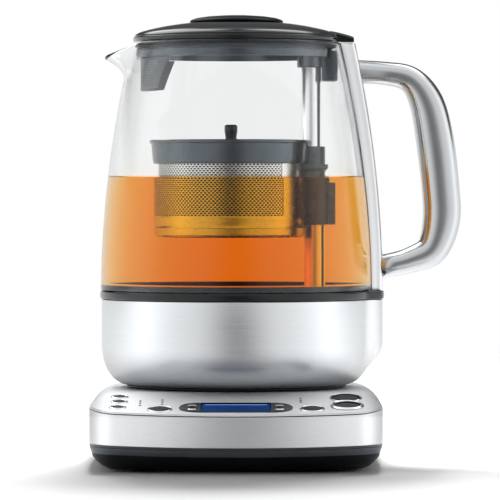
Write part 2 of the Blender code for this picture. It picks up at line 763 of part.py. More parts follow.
def make_circuit_board():
    """The board under the panel, with a switch below each button in the steel."""
    places = button_places()
    half = SWITCH_SIZE / 2
    side = max(abs(across) for across, down in places.values()) + half + BOARD_MARGIN
    rear = min(down for across, down in places.values()) - half - BOARD_MARGIN
    front = max([down + half for across, down in places.values()] + [display_place() + DISPLAY_HEIGHT / 2])
    board = block("circuit_board", (-side, -front - BOARD_MARGIN, -BOARD_DEPTH - BOARD_THICKNESS),
                  (side, -rear, -BOARD_DEPTH), "green_board", PANEL)
    for name, (across, down) in places.items():
        join(board, block(f"switch {name}", (across - half, -down - half, -BOARD_DEPTH - GAP),
                          (across + half, -down + half, -BOARD_DEPTH + half), None, PANEL))


def make_lights(shell):
    """Light guides: a bar under the steel with a peg up through each small hole."""
    bar_top = -SHELL_WALL - GAP
    half = LIGHT_RADIUS + GAP
    for name, columns in LIGHT_SHARES.items():
        spots = [(BASE_WIDTH * across, PANEL_DEPTH * down) for across, rows in columns for down in rows]
        across, down = zip(*spots)
        bar = block(name, (min(across) - half, -max(down) - half, -BOARD_DEPTH + GAP),
                    (max(across) + half, -min(down) + half, bar_top), "red_light", PANEL)
        for index, (x, y) in enumerate(spots):
            join(bar, rod(f"peg {name} {index}", LIGHT_RADIUS, bar_top - GAP, LIGHT_RISE, None, PANEL,
                          (x, -y, 0), sides=LIGHT_SIDES))
            cut(shell, rod(f"hole {name} {index}", LIGHT_RADIUS + GAP, -OVERRUN / 2, OVERRUN, None, PANEL,
                           (x, -y, 0), sides=LIGHT_SIDES))


# Jug

def glass_radius(z):
    """Outer radius of the glass at a height."""
    share = max((z - GASKET_TOP) / GLASS_HEIGHT, 0.0)
    return GLASS_FOOT_RADIUS - (GLASS_FOOT_RADIUS - GLASS_RIM_RADIUS) * share ** GLASS_CURVE_SHARE


def bump(x, y, z):
    """How far the bowl swells out under the spine at a point round it."""
    turn = abs(math.degrees(math.atan2(y, x)))
    around = 1 - smooth_step((turn - BUMP_FLAT_ANGLE) / BUMP_FADE_ANGLE)
    return BUMP_REACH * around * smooth_step((z - BUMP_START) / BUMP_BLEND)


def swell(mesh, least_radius):
    """Pushes the outer points of a turned mesh out over the bump."""
    for vertex in mesh.vertices:
        x, y, z = vertex.co
        radius = math.hypot(x, y)
        if radius > least_radius:
            scale = 1 + bump(x, y, z) / radius
            vertex.co.x, vertex.co.y = x * scale, y * scale


def make_bowl():
    wall = quarter_round((BOWL_FOOT_RADIUS, BOWL_BOTTOM), (BOWL_RADIUS, BOWL_BOTTOM + BOWL_ROUND_HEIGHT), 6)
    flange = BOWL_RADIUS - BOWL_FLANGE
    profile = [(flange, BOWL_TOP), (BOWL_RADIUS - BOWL_WALL, BOWL_TOP), (BOWL_RADIUS, BOWL_TOP - BOWL_WALL)]
    profile += wall[::-1] + [(BOWL_FOOT_RADIUS - BOWL_UNDER_RIM, BOWL_BOTTOM)]
    bowl = turned("jug_bowl", profile, "brushed_steel", JUG_AXIS, sides=LARGE_SIDES)
    swell(bake(bowl), flange)
    thicken(bowl, BOWL_WALL)
    cut(bowl, belt_slot("bowl slot"))
    return bowl


def belt_slot(name):
    """The slot that lets the belt down from the spine into the bump."""
    middle = spine_middle(BOWL_TOP)
    half = BELT_WIDTH / 2 + 4 * GAP
    across = PULLEY_PITCH + BELT_THICKNESS + 2 * GAP
    return block(name, (middle - half, -across, BOWL_TOP - OVERRUN),
                 (middle + half, across, GASKET_TOP + OVERRUN), None, JUG_AXIS)


def make_gasket():
    """The dark band between bowl and glass, with a lip inside the glass."""
    top, bottom = GASKET_TOP, BOWL_TOP + GAP
    lip = GLASS_FOOT_RADIUS - GLASS_WALL - GAP
    lip_top = top + GASKET_LIP_HEIGHT
    inner = lip - GASKET_LIP_THICKNESS
    outer = GLASS_FOOT_RADIUS + GASKET_PROUD
    profile = [(lip, lip_top), (lip, top), (outer, top), (outer, bottom), (inner, bottom), (inner, lip_top)]
    gasket = turned("jug_gasket", profile, "slate_plastic", JUG_AXIS, sides=LARGE_SIDES, ring=True)
    swell(bake(gasket), lip + GAP)
    cut(gasket, belt_slot("gasket slot"))


def make_glass():
    """A tapering glass wall whose rim runs out into a pouring lip."""
    start = GASKET_TOP + GAP
    plain_rows = 6
    spout_rows = 4
    heights = [start + (SPOUT_START - start) * i / plain_rows for i in range(plain_rows)]
    heights += [SPOUT_START + SPOUT_HEIGHT * i / spout_rows for i in range(spout_rows + 1)]
    profile = [(glass_radius(z), z) for z in reversed(heights)]
    glass = turned("glass_jug", profile, "glass", JUG_AXIS, sides=LARGE_SIDES)
    for vertex in bake(glass).vertices:
        x, y, z = vertex.co
        turn = abs(math.degrees(math.atan2(y, -x)))
        around = math.cos(math.pi / 2 * min(turn / SPOUT_HALF_ANGLE, 1.0)) ** SPOUT_ROUND_SHARE
        rise = max((z - SPOUT_START) / SPOUT_HEIGHT, 0.0)
        radius = math.hypot(x, y)
        scale = 1 + SPOUT_REACH * around * rise ** SPOUT_FLARE_SHARE / radius
        vertex.co = (x * scale, y * scale, z - SPOUT_DROP * around * rise)
    thicken(glass, GLASS_WALL)


def make_bottom_cover():
    low = BASE_TOP + GAP
    top = BOWL_BOTTOM - GAP
    recess = low + RECESS_DEPTH
    step = recess + COVER_THICKNESS
    profile = [(BOWL_FOOT_RADIUS, top), (BOWL_FOOT_RADIUS - RING_WIDTH, low),
               (RECESS_RADIUS + RING_WIDTH, low), (RECESS_RADIUS, recess),
               (SOCKET_RADIUS + GAP, recess), (SOCKET_RADIUS + GAP, step),
               (RECESS_RADIUS + RING_WIDTH, step), (RECESS_RADIUS + 2 * RING_WIDTH, top)]
    turned("jug_bottom_cover", profile, "black_plastic", JUG_AXIS, sides=LARGE_SIDES, ring=True)
    return step


def make_upper_connector(seat):
    """The socket in the jug's bottom that fits over the hub and lets the jug swivel."""
    flange = seat + GAP
    cap = BASE_TOP + GAP + CONNECTOR_FLANGE + HUB_HEIGHT + GAP
    bore = HUB_RADIUS + 2 * GAP
    bottom = BASE_TOP + CONNECTOR_FLANGE + 3 * GAP
    profile = [(0, cap + SOCKET_CAP), (SOCKET_RADIUS, cap + SOCKET_CAP),
               (SOCKET_RADIUS, flange + SOCKET_FLANGE), (SOCKET_FLANGE_RADIUS, flange + SOCKET_FLANGE),
               (SOCKET_FLANGE_RADIUS, flange),
               (SOCKET_RADIUS, flange), (SOCKET_RADIUS, bottom), (bore, bottom), (bore, cap), (0, cap)]
    turned("upper_connector", profile, "black_plastic", JUG_AXIS)


def plate_top():
    return BOWL_TOP + GAP + PLATE_THICKNESS


def make_heater():
    low = BOWL_TOP + GAP
    edge = GLASS_FOOT_RADIUS - GLASS_WALL - GASKET_LIP_THICKNESS - 2 * GAP
    rod("heating_plate", edge, low, low + PLATE_THICKNESS, "polished_steel", JUG_AXIS, sides=LARGE_SIDES)

    def build_ring(bm):
        around, through = 28, 6
        rings = []
        for i in range(around):
            turn = Matrix.Rotation(math.tau * i / around, 3, "Z")
            ring = []
            for j in range(through):
                angle = math.tau * j / through
                point = Vector((ELEMENT_RADIUS + ELEMENT_TUBE * math.cos(angle), 0,
                                ELEMENT_TUBE * math.sin(angle)))
                ring.append(bm.verts.new(turn @ point))
            rings.append(ring)
        for i in range(around):
            for j in range(through):
                a, b = rings[i], rings[(i + 1) % around]
                bm.faces.new((a[j], b[j], b[(j + 1) % through], a[(j + 1) % through]))

    place("heating_element", mesh_from("heating_element", build_ring), "magnet_steel", JUG_AXIS,
          (0, 0, low - GAP - ELEMENT_TUBE))
    rod("temperature_sensor", SENSOR_RADIUS, low - GAP - SENSOR_HEIGHT, low - GAP, "magnet_steel", JUG_AXIS)


# Spine and handle

def spine_proud(z):
    """How far the spine's outer face stands out from the glass."""
    share = (z - GASKET_TOP) / (SPINE_TOP - GASKET_TOP)
    share = min(max(share, 0.0), 1.0)
    return SPINE_PROUD_LOW + (SPINE_PROUD_HIGH - SPINE_PROUD_LOW) * share


def spine_outer(z):
    return glass_radius(z) + spine_proud(z)


def spine_inner_wall(z):
    return glass_radius(z) + 2 * GAP + LINER_THICKNESS


def spine_middle(z):
    """Middle of the hollow inside the spine, between liner and cover."""
    return (spine_inner_wall(z) + spine_outer(z) - SPINE_WALL) / 2


def spine_lean(z):
    """Angle by which the spine leans in towards the lid at a height."""
    step = OVERRUN
    return math.atan2(spine_middle(z - step) - spine_middle(z + step), 2 * step)


def spine_rows(low, high, count):
    return [low + (high - low) * i / count for i in range(count + 1)]


def spine_section(z, grow, half_width):
    """Half an outline round the spine's outside, from one edge on the glass to the other."""
    outer = spine_outer(z) + grow
    edge = half_width + grow
    radius = SPINE_ROUND
    foot = math.sqrt((glass_radius(z) + GAP) ** 2 - edge ** 2)
    points = [(foot, -edge, z)]
    for side in (-1, 1):
        turns = [math.pi / 2 * i / 3 for i in range(4)]
        if side > 0:
            turns.reverse()
        for turn in turns:
            points.append((outer - radius * (1 - math.sin(turn)),
                           side * (edge - radius * (1 - math.cos(turn))), z))
    points.append((foot, edge, z))
    return points


def make_spine():
    low = GASKET_TOP + GAP
    rows = spine_rows(low, SPINE_TOP, 12)
    cover = loft("spine_cover", [spine_section(z, 0.0, SPINE_HALF_WIDTH) for z in rows], "brushed_steel",
                 JUG_AXIS, strip=True)
    outwards = sum(face.normal.x for face in cover.data.polygons)
    if outwards < 0:
        cover.data.flip_normals()
    thicken(cover, SPINE_WALL)

    def liner_section(z):
        radius = glass_radius(z) + GAP + LINER_THICKNESS
        turns = [math.asin(LINER_HALF_WIDTH / radius) * (i / 2 - 1) for i in range(5)]
        return [(radius * math.cos(turn), radius * math.sin(turn), z) for turn in turns]

    liner = loft("spine_liner", [liner_section(z) for z in rows], "slate_plastic", JUG_AXIS, strip=True)
    if sum(face.normal.x for face in liner.data.polygons) < 0:
        liner.data.flip_normals()
    thicken(liner, LINER_THICKNESS)
    return cover


# Stations of the handle's middle line: across from the spine and up the handle, as shares of its
# reach and height, and its thickness as a share of the grip's
HANDLE_SHARES = (
    (-0.22, 0.950, 0.60), (0.05, 0.945, 0.61), (0.36, 0.918, 0.70), (0.57, 0.815, 0.90), (0.68, 0.650, 1.0),
    (0.755, 0.430, 1.0), (0.770, 0.270, 0.99), (0.650, 0.135, 0.84), (0.38, 0.085, 0.68),
    (0.10, 0.060, 0.62), (-0.10, 0.050, 0.62),
)


def handle_stations():
    """Smooth line of (x, z, thickness) through the shares above."""
    reach = HANDLE_REACH
    spine = spine_outer(HANDLE_LOW)
    knots = []
    for across, up, thick in HANDLE_SHARES:
        knots.append(Vector((spine + reach * across, HANDLE_LOW + (HANDLE_HIGH - HANDLE_LOW) * up,
                             HANDLE_THICKNESS * thick)))
    line = []
    steps = 3
    ends = [2 * knots[0] - knots[1]] + knots + [2 * knots[-1] - knots[-2]]
    for before, start, end, after in zip(ends, ends[1:], ends[2:], ends[3:]):
        for i in range(steps):
            t = i / steps
            line.append(0.5 * (2 * start + (end - before) * t
                               + (2 * before - 5 * start + 4 * end - after) * t ** 2
                               + (3 * start - before - 3 * end + after) * t ** 3))
    line.append(knots[-1])
    return line


def handle_sections():
    line = handle_stations()
    sides = 14
    sections = []
    for index, station in enumerate(line):
        before = line[max(index - 1, 0)]
        after = line[min(index + 1, len(line) - 1)]
        along = Vector((after.x - before.x, 0, after.y - before.y)).normalized()
        outward = Vector((along.z, 0, -along.x))
        centre = Vector((station.x, 0, station.y))
        section = []
        for i in range(sides):
            turn = math.tau * (i + 0.5) / sides
            across = math.copysign(abs(math.cos(turn)) ** 0.8, math.cos(turn))
            wide = math.copysign(abs(math.sin(turn)) ** 0.8, math.sin(turn))
            section.append(centre + outward * across * station.z / 2
                           + Vector((0, wide * HANDLE_WIDTH / 2, 0)))
        sections.append(section)
    return sections


def make_handle(cover):
    handle = loft("handle", handle_sections(), "polished_steel", JUG_AXIS)
    envelope_rows = spine_rows(GASKET_TOP - 2 * OVERRUN, SPINE_TOP + 2 * OVERRUN, 14)
    envelope = [spine_section(z, GAP, SPINE_HALF_WIDTH) for z in envelope_rows]
    envelope = [[(0, y, z) if i in (0, len(row) - 1) else (x, y, z) for i, (x, y, z) in enumerate(row)]
                for row in envelope]
    cut(handle, loft("spine envelope", envelope, None, JUG_AXIS))
    for name, height in (("upper", UPPER_SCREW), ("lower", LOWER_SCREW)):
        lean = spine_lean(height)
        wall = spine_outer(height) - SPINE_WALL - GAP
        where = (wall, 0, height)
        turn = (0, math.pi / 2 - lean, 0)
        profile = [(0, HANDLE_SCREW_LENGTH), (HANDLE_SCREW_RADIUS, HANDLE_SCREW_LENGTH),
                   (HANDLE_SCREW_RADIUS, 0), (HANDLE_SCREW_HEAD, 0),
                   (HANDLE_SCREW_HEAD, -HANDLE_SCREW_RADIUS), (0, -HANDLE_SCREW_RADIUS)]
        turned(f"handle_screw_{name}", profile, "magnet_steel", JUG_AXIS, where, turn, sides=FINE_SIDES)
        hole = rod(f"handle screw hole {name}", HANDLE_SCREW_RADIUS + GAP, -SPINE_WALL,
                   HANDLE_SCREW_LENGTH + GAP, None, JUG_AXIS, where, turn, sides=FINE_SIDES)
        cut(cover, hole)
        cut(handle, hole)


# Lift drive inside the spine

def make_belt():
    """A closed belt round both pulleys, following the spine's curve."""
    rows = 9
    low, high = LOWER_PULLEY, UPPER_PULLEY
    path = [(PULLEY_PITCH, low + (high - low) * i / rows) for i in range(rows)]
    path += [(PULLEY_PITCH * math.cos(math.pi * i / 6), high + PULLEY_PITCH * math.sin(math.pi * i / 6))
             for i in range(7)]
    path += [(-PULLEY_PITCH, high - (high - low) * i / rows) for i in range(1, rows)]
    path += [(-PULLEY_PITCH * math.cos(math.pi * i / 6), low - PULLEY_PITCH * math.sin(math.pi * i / 6))
             for i in range(6)]
    sections = []
    for index, (y, z) in enumerate(path):
        before, after = path[index - 1], path[(index + 1) % len(path)]
        along = Vector((after[0] - before[0], after[1] - before[1])).normalized()
        outward = Vector((along.y, -along.x))
        x = spine_middle(z)
        section = []
        for out, wide in ((-1, -1), (1, -1), (1, 1), (-1, 1)):
            section.append((x + wide * BELT_WIDTH / 2, y + out * outward.x * BELT_THICKNESS / 2,
                            z + out * outward.y * BELT_THICKNESS / 2))
        sections.append(section)
    loft("lift_belt", sections, "dark_rubber", JUG_AXIS, loop=True)


def make_pulley(name, height):
    lean = spine_lean(height)
    radius = PULLEY_PITCH - BELT_THICKNESS / 2 - GAP
    hub = empty(f"{name} axis", (spine_middle(height), 0, height), (0, math.pi / 2 - lean, 0), JUG_AXIS)
    half = PULLEY_THICKNESS / 2
    profile = [(0, half), (radius, half), (radius, -half), (0, -half)]
    turned(name, profile, "slate_plastic", hub, sides=SMALL_SIDES)
    return hub


def make_drive():
    make_belt()
    make_pulley("drive_pulley", LOWER_PULLEY)
    make_pulley("idler_pulley", UPPER_PULLEY)
    face = spine_middle(LOWER_PULLEY) - PULLEY_THICKNESS / 2 - GAP
    turn = (0, math.pi / 2, 0)
    where = (face, 0, LOWER_PULLEY)
    motor = rod("lift_motor", MOTOR_RADIUS, -MOTOR_LENGTH, 0, "magnet_steel", JUG_AXIS, where, turn)
    join(motor, block("motor plate",
                      (face - MOTOR_PLATE - GAP, -MOTOR_PLATE_HALF_WIDTH, LOWER_PULLEY - MOTOR_RADIUS),
                      (face - GAP, MOTOR_PLATE_HALF_WIDTH, BOWL_TOP - BOWL_WALL - GAP), None, JUG_AXIS))


def carriage_line():
    """Straight line that stays nearest the spine's middle over the whole travel."""
    rest = SLEEVE_BOTTOM + MAGNET_BLOCK_HEIGHT / 2
    low, high = rest - LIFT_DOWN, rest + LIFT_UP
    slope = (spine_middle(high) - spine_middle(low)) / (high - low)
    chord = spine_middle(low) + slope * (rest - low)
    place = chord + (spine_middle(rest) - chord) * CARRIAGE_PLACE_SHARE
    return place, rest, math.atan(-slope)


def make_carriage():
    """The magnet carriage clipped to the belt, which draws the cradle along from outside the glass."""
    x, z, lean = carriage_line()
    line = empty("carriage line", (x, 0, z), (0, -lean, 0), JUG_AXIS)
    half_width = PULLEY_PITCH - BELT_THICKNESS / 2 - GAP
    block("drive_carriage", (-CARRIAGE_THICKNESS / 2, -half_width, -CARRIAGE_LENGTH / 2),
          (CARRIAGE_THICKNESS / 2, half_width, CARRIAGE_LENGTH / 2), "magnet_steel", line)


# Lid

def cup_bottom():
    """The lower edge of the cup that hangs from the collar over the post."""
    return COLLAR_BOTTOM - CUP_DROP


def make_lid():
    low = GLASS_RIM + GAP
    dome = [(LID_CROWN_RADIUS, LID_TOP), (LID_DOME_RADIUS, LID_DOME), (LID_SHOULDER_RADIUS, LID_SHOULDER),
            (LID_RADIUS - GAP, LID_SHOULDER - LID_WALL), (LID_RADIUS, LID_EDGE), (LID_RADIUS - 2 * GAP, low)]
    under = [(radius - LID_WALL, height - LID_WALL) for radius, height in dome[1:-2]]
    inner = COLLAR_RADIUS + GAP
    profile = [(0, LID_TOP)] + dome + [(inner, low), (inner, LID_EDGE)] + under[-2::-1]
    profile += [(LID_CROWN_RADIUS, LID_TOP - LID_WALL), (0, LID_TOP - LID_WALL)]
    cover = turned("lid_cover", profile, "black_plastic", LID_AXIS, sides=LARGE_SIDES)
    join(cover, block("lid tail", (LID_RADIUS - 2 * LID_WALL, -TAIL_HALF_WIDTH, low),
                      (GLASS_RIM_RADIUS + TAIL_LENGTH, TAIL_HALF_WIDTH, low + TAIL_HEIGHT), None, LID_AXIS,
                      bevel=LID_WALL / 2))

    base = LID_TOP + GAP
    edge = [(KNOB_RADIUS - 3 * KNOB_EDGE, KNOB_TOP - KNOB_EDGE / 3), (KNOB_RADIUS, base + KNOB_EDGE),
            (KNOB_RADIUS - KNOB_EDGE / 2, base)]
    turned("lid_knob", [(0, KNOB_TOP)] + edge + [(0, base)], "slate_plastic", LID_AXIS)

    web_top = LID_EDGE - GAP
    wall = COLLAR_RADIUS - COLLAR_WALL
    profile = [(0, web_top), (COLLAR_RADIUS, web_top), (COLLAR_RADIUS, COLLAR_BOTTOM),
               (wall, COLLAR_BOTTOM), (wall, web_top - COLLAR_WEB), (0, web_top - COLLAR_WEB)]
    collar = turned("lid_collar", profile, "slate_plastic", LID_AXIS, sides=LARGE_SIDES)
    # the block that hangs at the rear of the collar holds the cup over the post
    cup_radius = ROD_RADIUS + GAP + CUP_WALL
    inside = POST_PLACE + cup_radius - CUP_WALL
    block_bottom = COLLAR_BOTTOM - BLOCK_DEPTH
    post = (POST_PLACE, 0, 0)
    join(collar,
         block("lid block", (inside, -BLOCK_HALF_WIDTH, block_bottom),
               (COLLAR_RADIUS - 2 * GAP - BLOCK_HALF_WIDTH ** 2 / COLLAR_RADIUS, BLOCK_HALF_WIDTH,
                web_top - COLLAR_WEB / 2), None, LID_AXIS),
         rod("post cup", cup_radius, cup_bottom(), COLLAR_BOTTOM + CUP_WALL, None, LID_AXIS, post,
             sides=SMALL_SIDES))
    cut(collar, rod("cup bore", ROD_RADIUS + GAP, block_bottom - OVERRUN, cup_bottom() + CUP_DEPTH, None,
                    LID_AXIS, post, sides=SMALL_SIDES))

    inner, low = COLLAR_RADIUS + GAP, COLLAR_BOTTOM + SEAL_RISE
    profile = [(inner, low + SEAL_HEIGHT), (inner + SEAL_REACH, low + SEAL_HEIGHT / 2), (inner, low)]
    turned("lid_seal", profile, "silicone", LID_AXIS, sides=LARGE_SIDES, ring=True)


def make_spout_filter():
    """The curved guard that hangs from the collar behind the spout."""
    rows = ((COLLAR_BOTTOM - FILTER_DEPTH, FILTER_LOW_ANGLE), (COLLAR_BOTTOM - GAP, FILTER_HIGH_ANGLE))
    columns = 14
    sections = []
    for height, reach in rows:
        section = []
        for i in range(columns + 1):
            turn = math.radians(180 - reach + 2 * reach * i / columns)
            section.append((COLLAR_RADIUS * math.cos(turn), COLLAR_RADIUS * math.sin(turn), height))
        sections.append(section)
    made = loft("spout_filter", sections, "slate_plastic", LID_AXIS, strip=True)
    if sum(face.normal.x for face in made.data.polygons) > 0:
        made.data.flip_normals()
    thicken(made, FILTER_WALL)


# Post, cradle and basket

def make_post():
    low = plate_top() + GAP
    top = cup_bottom() + CUP_DEPTH - GAP
    profile = [(0, top), (ROD_RADIUS - GAP, top), (ROD_RADIUS, top - GAP),
               (ROD_RADIUS, low + ROD_FOOT_HEIGHT), (ROD_FOOT_RADIUS, low + ROD_FOOT_HEIGHT),
               (ROD_FOOT_RADIUS, low), (0, low)]
    turned("basket_post", profile, "polished_steel", JUG_AXIS, (POST_PLACE, 0, 0), sides=SMALL_SIDES)


def sleeve_radius():
    return ROD_RADIUS + GAP + SLEEVE_WALL


def rim_bite():
    return sleeve_radius() + GAP


def make_cradle():
    """The sleeve that rides on the post, with a flange under the basket and a magnet behind."""
    outer, bore = sleeve_radius(), ROD_RADIUS + GAP
    flange = rim_bite() + CRADLE_FLANGE - 2 * GAP
    seat = RIM_BOTTOM - GAP
    top = RIM_TOP - SLEEVE_ABOVE
    profile = [(outer, top), (outer, seat), (flange, seat), (flange, seat - CRADLE_FLANGE),
               (outer, seat - 2 * CRADLE_FLANGE), (outer, SLEEVE_BOTTOM), (bore, SLEEVE_BOTTOM),
               (bore, top)]
    cradle = turned("basket_cradle", profile, "slate_plastic", LIFT_AXIS, sides=SMALL_SIDES, ring=True)
    reach, half = MAGNET_BLOCK_DEPTH, MAGNET_BLOCK_HALF_WIDTH
    block_top = SLEEVE_BOTTOM + MAGNET_BLOCK_HEIGHT
    join(cradle, block("magnet housing", (bore + SLEEVE_WALL / 2, -half, SLEEVE_BOTTOM),
                       (reach, half, block_top), None, LIFT_AXIS))
    low = (reach - MAGNET_THICKNESS, -half + MAGNET_MARGIN, SLEEVE_BOTTOM + MAGNET_MARGIN)
    high = (reach - GAP, half - MAGNET_MARGIN, block_top - MAGNET_MARGIN)
    block("cradle_magnet", low, high, "magnet_steel", LIFT_AXIS)
    grow = (GAP, GAP, GAP)
    cut(cradle, block("magnet pocket", [a - b for a, b in zip(low, grow)],
                      [high[0] + OVERRUN, high[1] + GAP, high[2] + GAP], None, LIFT_AXIS))


def basket_outline(radius, bite):
    """A circle about the basket's axis with a bite of its own radius taken out round the post."""
    apart = BASKET_APART
    meet_x = (apart ** 2 + radius ** 2 - bite ** 2) / (2 * apart)
    meet_y = math.sqrt(max(radius ** 2 - meet_x ** 2, TINY ** 2))
    start = math.atan2(meet_y, meet_x)
    around, inward = 34, 9
    points = []
    for i in range(around + 1):
        turn = start + (math.tau - 2 * start) * i / around
        points.append((radius * math.cos(turn), radius * math.sin(turn)))
    bite_start = math.atan2(-meet_y, meet_x - apart)
    bite_end = -math.tau - bite_start
    for i in range(1, inward):
        turn = bite_start + (bite_end - bite_start) * i / inward
        points.append((apart + bite * math.cos(turn), bite * math.sin(turn)))
    return points


def basket_section(radius, bite, z):
    return [(x, y, z) for x, y in basket_outline(radius, bite)]


def make_rim():
    bite = rim_bite()
    inner = MESH_RADIUS + GAP
    sections = [
        basket_section(RIM_LIP_RADIUS, bite, RIM_TOP),
        basket_section(RIM_LIP_RADIUS, bite, RIM_TOP - RIM_LIP),
        basket_section(RIM_LIP_RADIUS - RIM_LIP / 2, bite, RIM_TOP - RIM_LIP),
        basket_section(RIM_FOOT_RADIUS, bite, RIM_BOTTOM),
        basket_section(inner, bite + RIM_WALL, RIM_BOTTOM), basket_section(inner, bite + RIM_WALL, RIM_TOP),
    ]
    loft("basket_rim", sections, "slate_plastic", BASKET_AXIS, loop=True)


def make_mesh_basket():
    """The strainer: a thin steel cup with a bite round the post, held in the rim."""
    bite = rim_bite() + RIM_WALL + GAP
    band = (MESH_RADIUS + MESH_FOOT_RADIUS) / 2
    stages = ((MESH_RADIUS, RIM_TOP - MESH_TOP_DROP), (MESH_RADIUS, MESH_BAND),
              (band + MESH_TOP_DROP / 4, (MESH_BAND + MESH_FOOT) / 2), (MESH_FOOT_RADIUS, MESH_FOOT))
    sections = [basket_section(radius, bite, height) for radius, height in stages]
    cup = loft("basket_mesh", sections, "mesh_steel", BASKET_AXIS, cap_first=False)
    if cup.data.polygons[-1].normal.z > 0:
        cup.data.flip_normals()
    thicken(cup, MESH_WALL)


def make_basket_lid():
    low = RIM_TOP - MESH_TOP_DROP + GAP
    top = low + BASKET_LID_THICKNESS
    bite = rim_bite() + RIM_WALL + GAP
    radius = MESH_RADIUS - GAP
    loft("basket_lid", [basket_section(radius, bite + GAP, low), basket_section(radius, bite + GAP, top)],
         "slate_plastic", BASKET_LID_AXIS)
    base = top + GAP
    crown = base + BASKET_KNOB_HEIGHT
    radius = BASKET_KNOB_RADIUS
    profile = [(0, crown), (radius - KNOB_EDGE, crown), (radius, crown - KNOB_EDGE), (radius, base),
               (0, base)]
    turned("basket_lid_knob", profile, "black_plastic", BASKET_LID_AXIS, sides=SMALL_SIDES)


clear_scene()
PARTS = new_collection("tea_maker")
CUTTERS = new_collection("tea_maker_cutters")

# The box round the whole object runs from the base's left side to the handle's outside
handle_outside = max(point.x for section in handle_sections() for point in section)
jug_across = (BASE_WIDTH / 2 - handle_outside) / 2

BASE = empty("base axis", (jug_across, 0, 0))
PANEL = empty("panel plane", (0, panel_crease(), BASE_TOP), (panel_slope(), 0, 0), BASE)
JUG_AXIS = empty("jug axis", (jug_across, JUG_BACK, 0))
LID_AXIS = empty("lid axis", (0, 0, 0), parent=JUG_AXIS)
LIFT_AXIS = empty("lift axis", (POST_PLACE, 0, 0), parent=JUG_AXIS)
BASKET_AXIS = empty("basket axis", (-BASKET_APART, 0, 0), parent=LIFT_AXIS)
BASKET_LID_AXIS = empty("basket lid axis", (0, 0, 0), parent=BASKET_AXIS)

base_shell = make_base_shell()
bottom_tray = make_bottom_tray()
make_feet(bottom_tray)
make_inner_frame(bottom_tray)
make_lower_connector(base_shell)
make_cord_gland(bottom_tray)
display_bezel = make_display(base_shell)
make_circuit_board()
make_lights(base_shell)
make_buttons(base_shell, display_bezel)

make_bowl()
make_gasket()
make_glass()
make_upper_connector(make_bottom_cover())
make_heater()
make_handle(make_spine())
make_drive()
make_carriage()
make_lid()
make_spout_filter()
make_post()
make_cradle()
make_rim()
make_mesh_basket()
make_basket_lid()
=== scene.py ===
# Automatic tea maker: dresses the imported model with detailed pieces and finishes.
# Metres, +Z up. The spout points to -X, the handle to +X, the control panel to -Y.
from itertools import product
from math import asin, atan2, copysign, cos, degrees, hypot, pi, radians, sin, sqrt, tan, tau

import bmesh
import bpy
from mathutils import Matrix, Vector


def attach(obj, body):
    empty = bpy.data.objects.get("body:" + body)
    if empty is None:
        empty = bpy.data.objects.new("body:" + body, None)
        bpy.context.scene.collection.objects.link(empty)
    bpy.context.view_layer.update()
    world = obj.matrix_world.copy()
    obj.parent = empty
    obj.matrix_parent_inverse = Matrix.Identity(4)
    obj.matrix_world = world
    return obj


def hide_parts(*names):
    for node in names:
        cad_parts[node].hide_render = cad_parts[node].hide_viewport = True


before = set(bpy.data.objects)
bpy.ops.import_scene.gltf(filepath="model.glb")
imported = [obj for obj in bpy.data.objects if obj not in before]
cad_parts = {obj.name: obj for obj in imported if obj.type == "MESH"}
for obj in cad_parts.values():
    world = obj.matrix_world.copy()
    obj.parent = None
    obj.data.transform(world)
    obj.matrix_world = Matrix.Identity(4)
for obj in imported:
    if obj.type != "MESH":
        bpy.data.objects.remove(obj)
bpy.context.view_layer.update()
print("frame loaded")

# The jug's upright axis, and the plane of the control panel
jugX, jugY = -0.0241065, 0.02
panel = {"crease": -0.047, "top": 0.0437, "depth": 0.055, "drop": 0.0108}
panelSlope = atan2(panel["drop"], panel["depth"])
panelPlane = Matrix.Translation((jugX, panel["crease"], panel["top"])) @ Matrix.Rotation(panelSlope, 4, "X")
hair = 0.0003  # the running gap between neighbours


# Nodes

def fed(node, inputs):
    # an input that is another node's output is linked, and any other is set
    for socket, value in inputs.items():
        if isinstance(value, bpy.types.NodeSocket):
            node.id_data.links.new(value, node.inputs[socket])
        else:
            node.inputs[socket].default_value = value
    return node


def added(tree, kind, inputs, **settings):
    node = tree.nodes.new("ShaderNode" + kind)
    for name, value in settings.items():
        setattr(node, name, value)
    return fed(node, inputs)


def places(tree, output="Object"):
    # where a point is, whole and as X, Y and Z
    whole = tree.nodes.new("ShaderNodeTexCoord").outputs[output]
    return whole, added(tree, "SeparateXYZ", {0: whole}).outputs


def ranged(value, low, high, start=0.0, end=1.0, easing="LINEAR"):
    return added(value.id_data, "MapRange", {
        "Value": value, "From Min": start, "From Max": end, "To Min": low, "To Max": high,
    }, interpolation_type=easing).outputs[0]


def mixed(share, first, second):
    return added(share.id_data, "Mix", {0: share, 2: first, 3: second}).outputs[0]


def blended(share, first, second):
    tones = {0: share, 6: (*first, 1), 7: (*second, 1)}
    return added(share.id_data, "Mix", tones, data_type="RGBA").outputs[2]


def calculated(operation, first, second=0.0):
    return added(first.id_data, "Math", {0: first, 1: second}, operation=operation).outputs[0]


def brightnessRamp(value, stops):
    # stops: places from -1 to 1, and the brightness at each
    ramp = added(value.id_data, "ValToRGB", {0: ranged(value, 0.0, 1.0, -1.0, 1.0)})
    parts = ramp.color_ramp.elements
    peak = max(bright for _, bright in stops)
    while len(parts) < len(stops):
        parts.new(0.5)
    for part, (place, bright) in zip(parts, stops):
        part.position = (place + 1) / 2
        part.color = (bright / peak, bright / peak, bright / peak, 1)
    return calculated("MULTIPLY", ramp.outputs[0], peak)


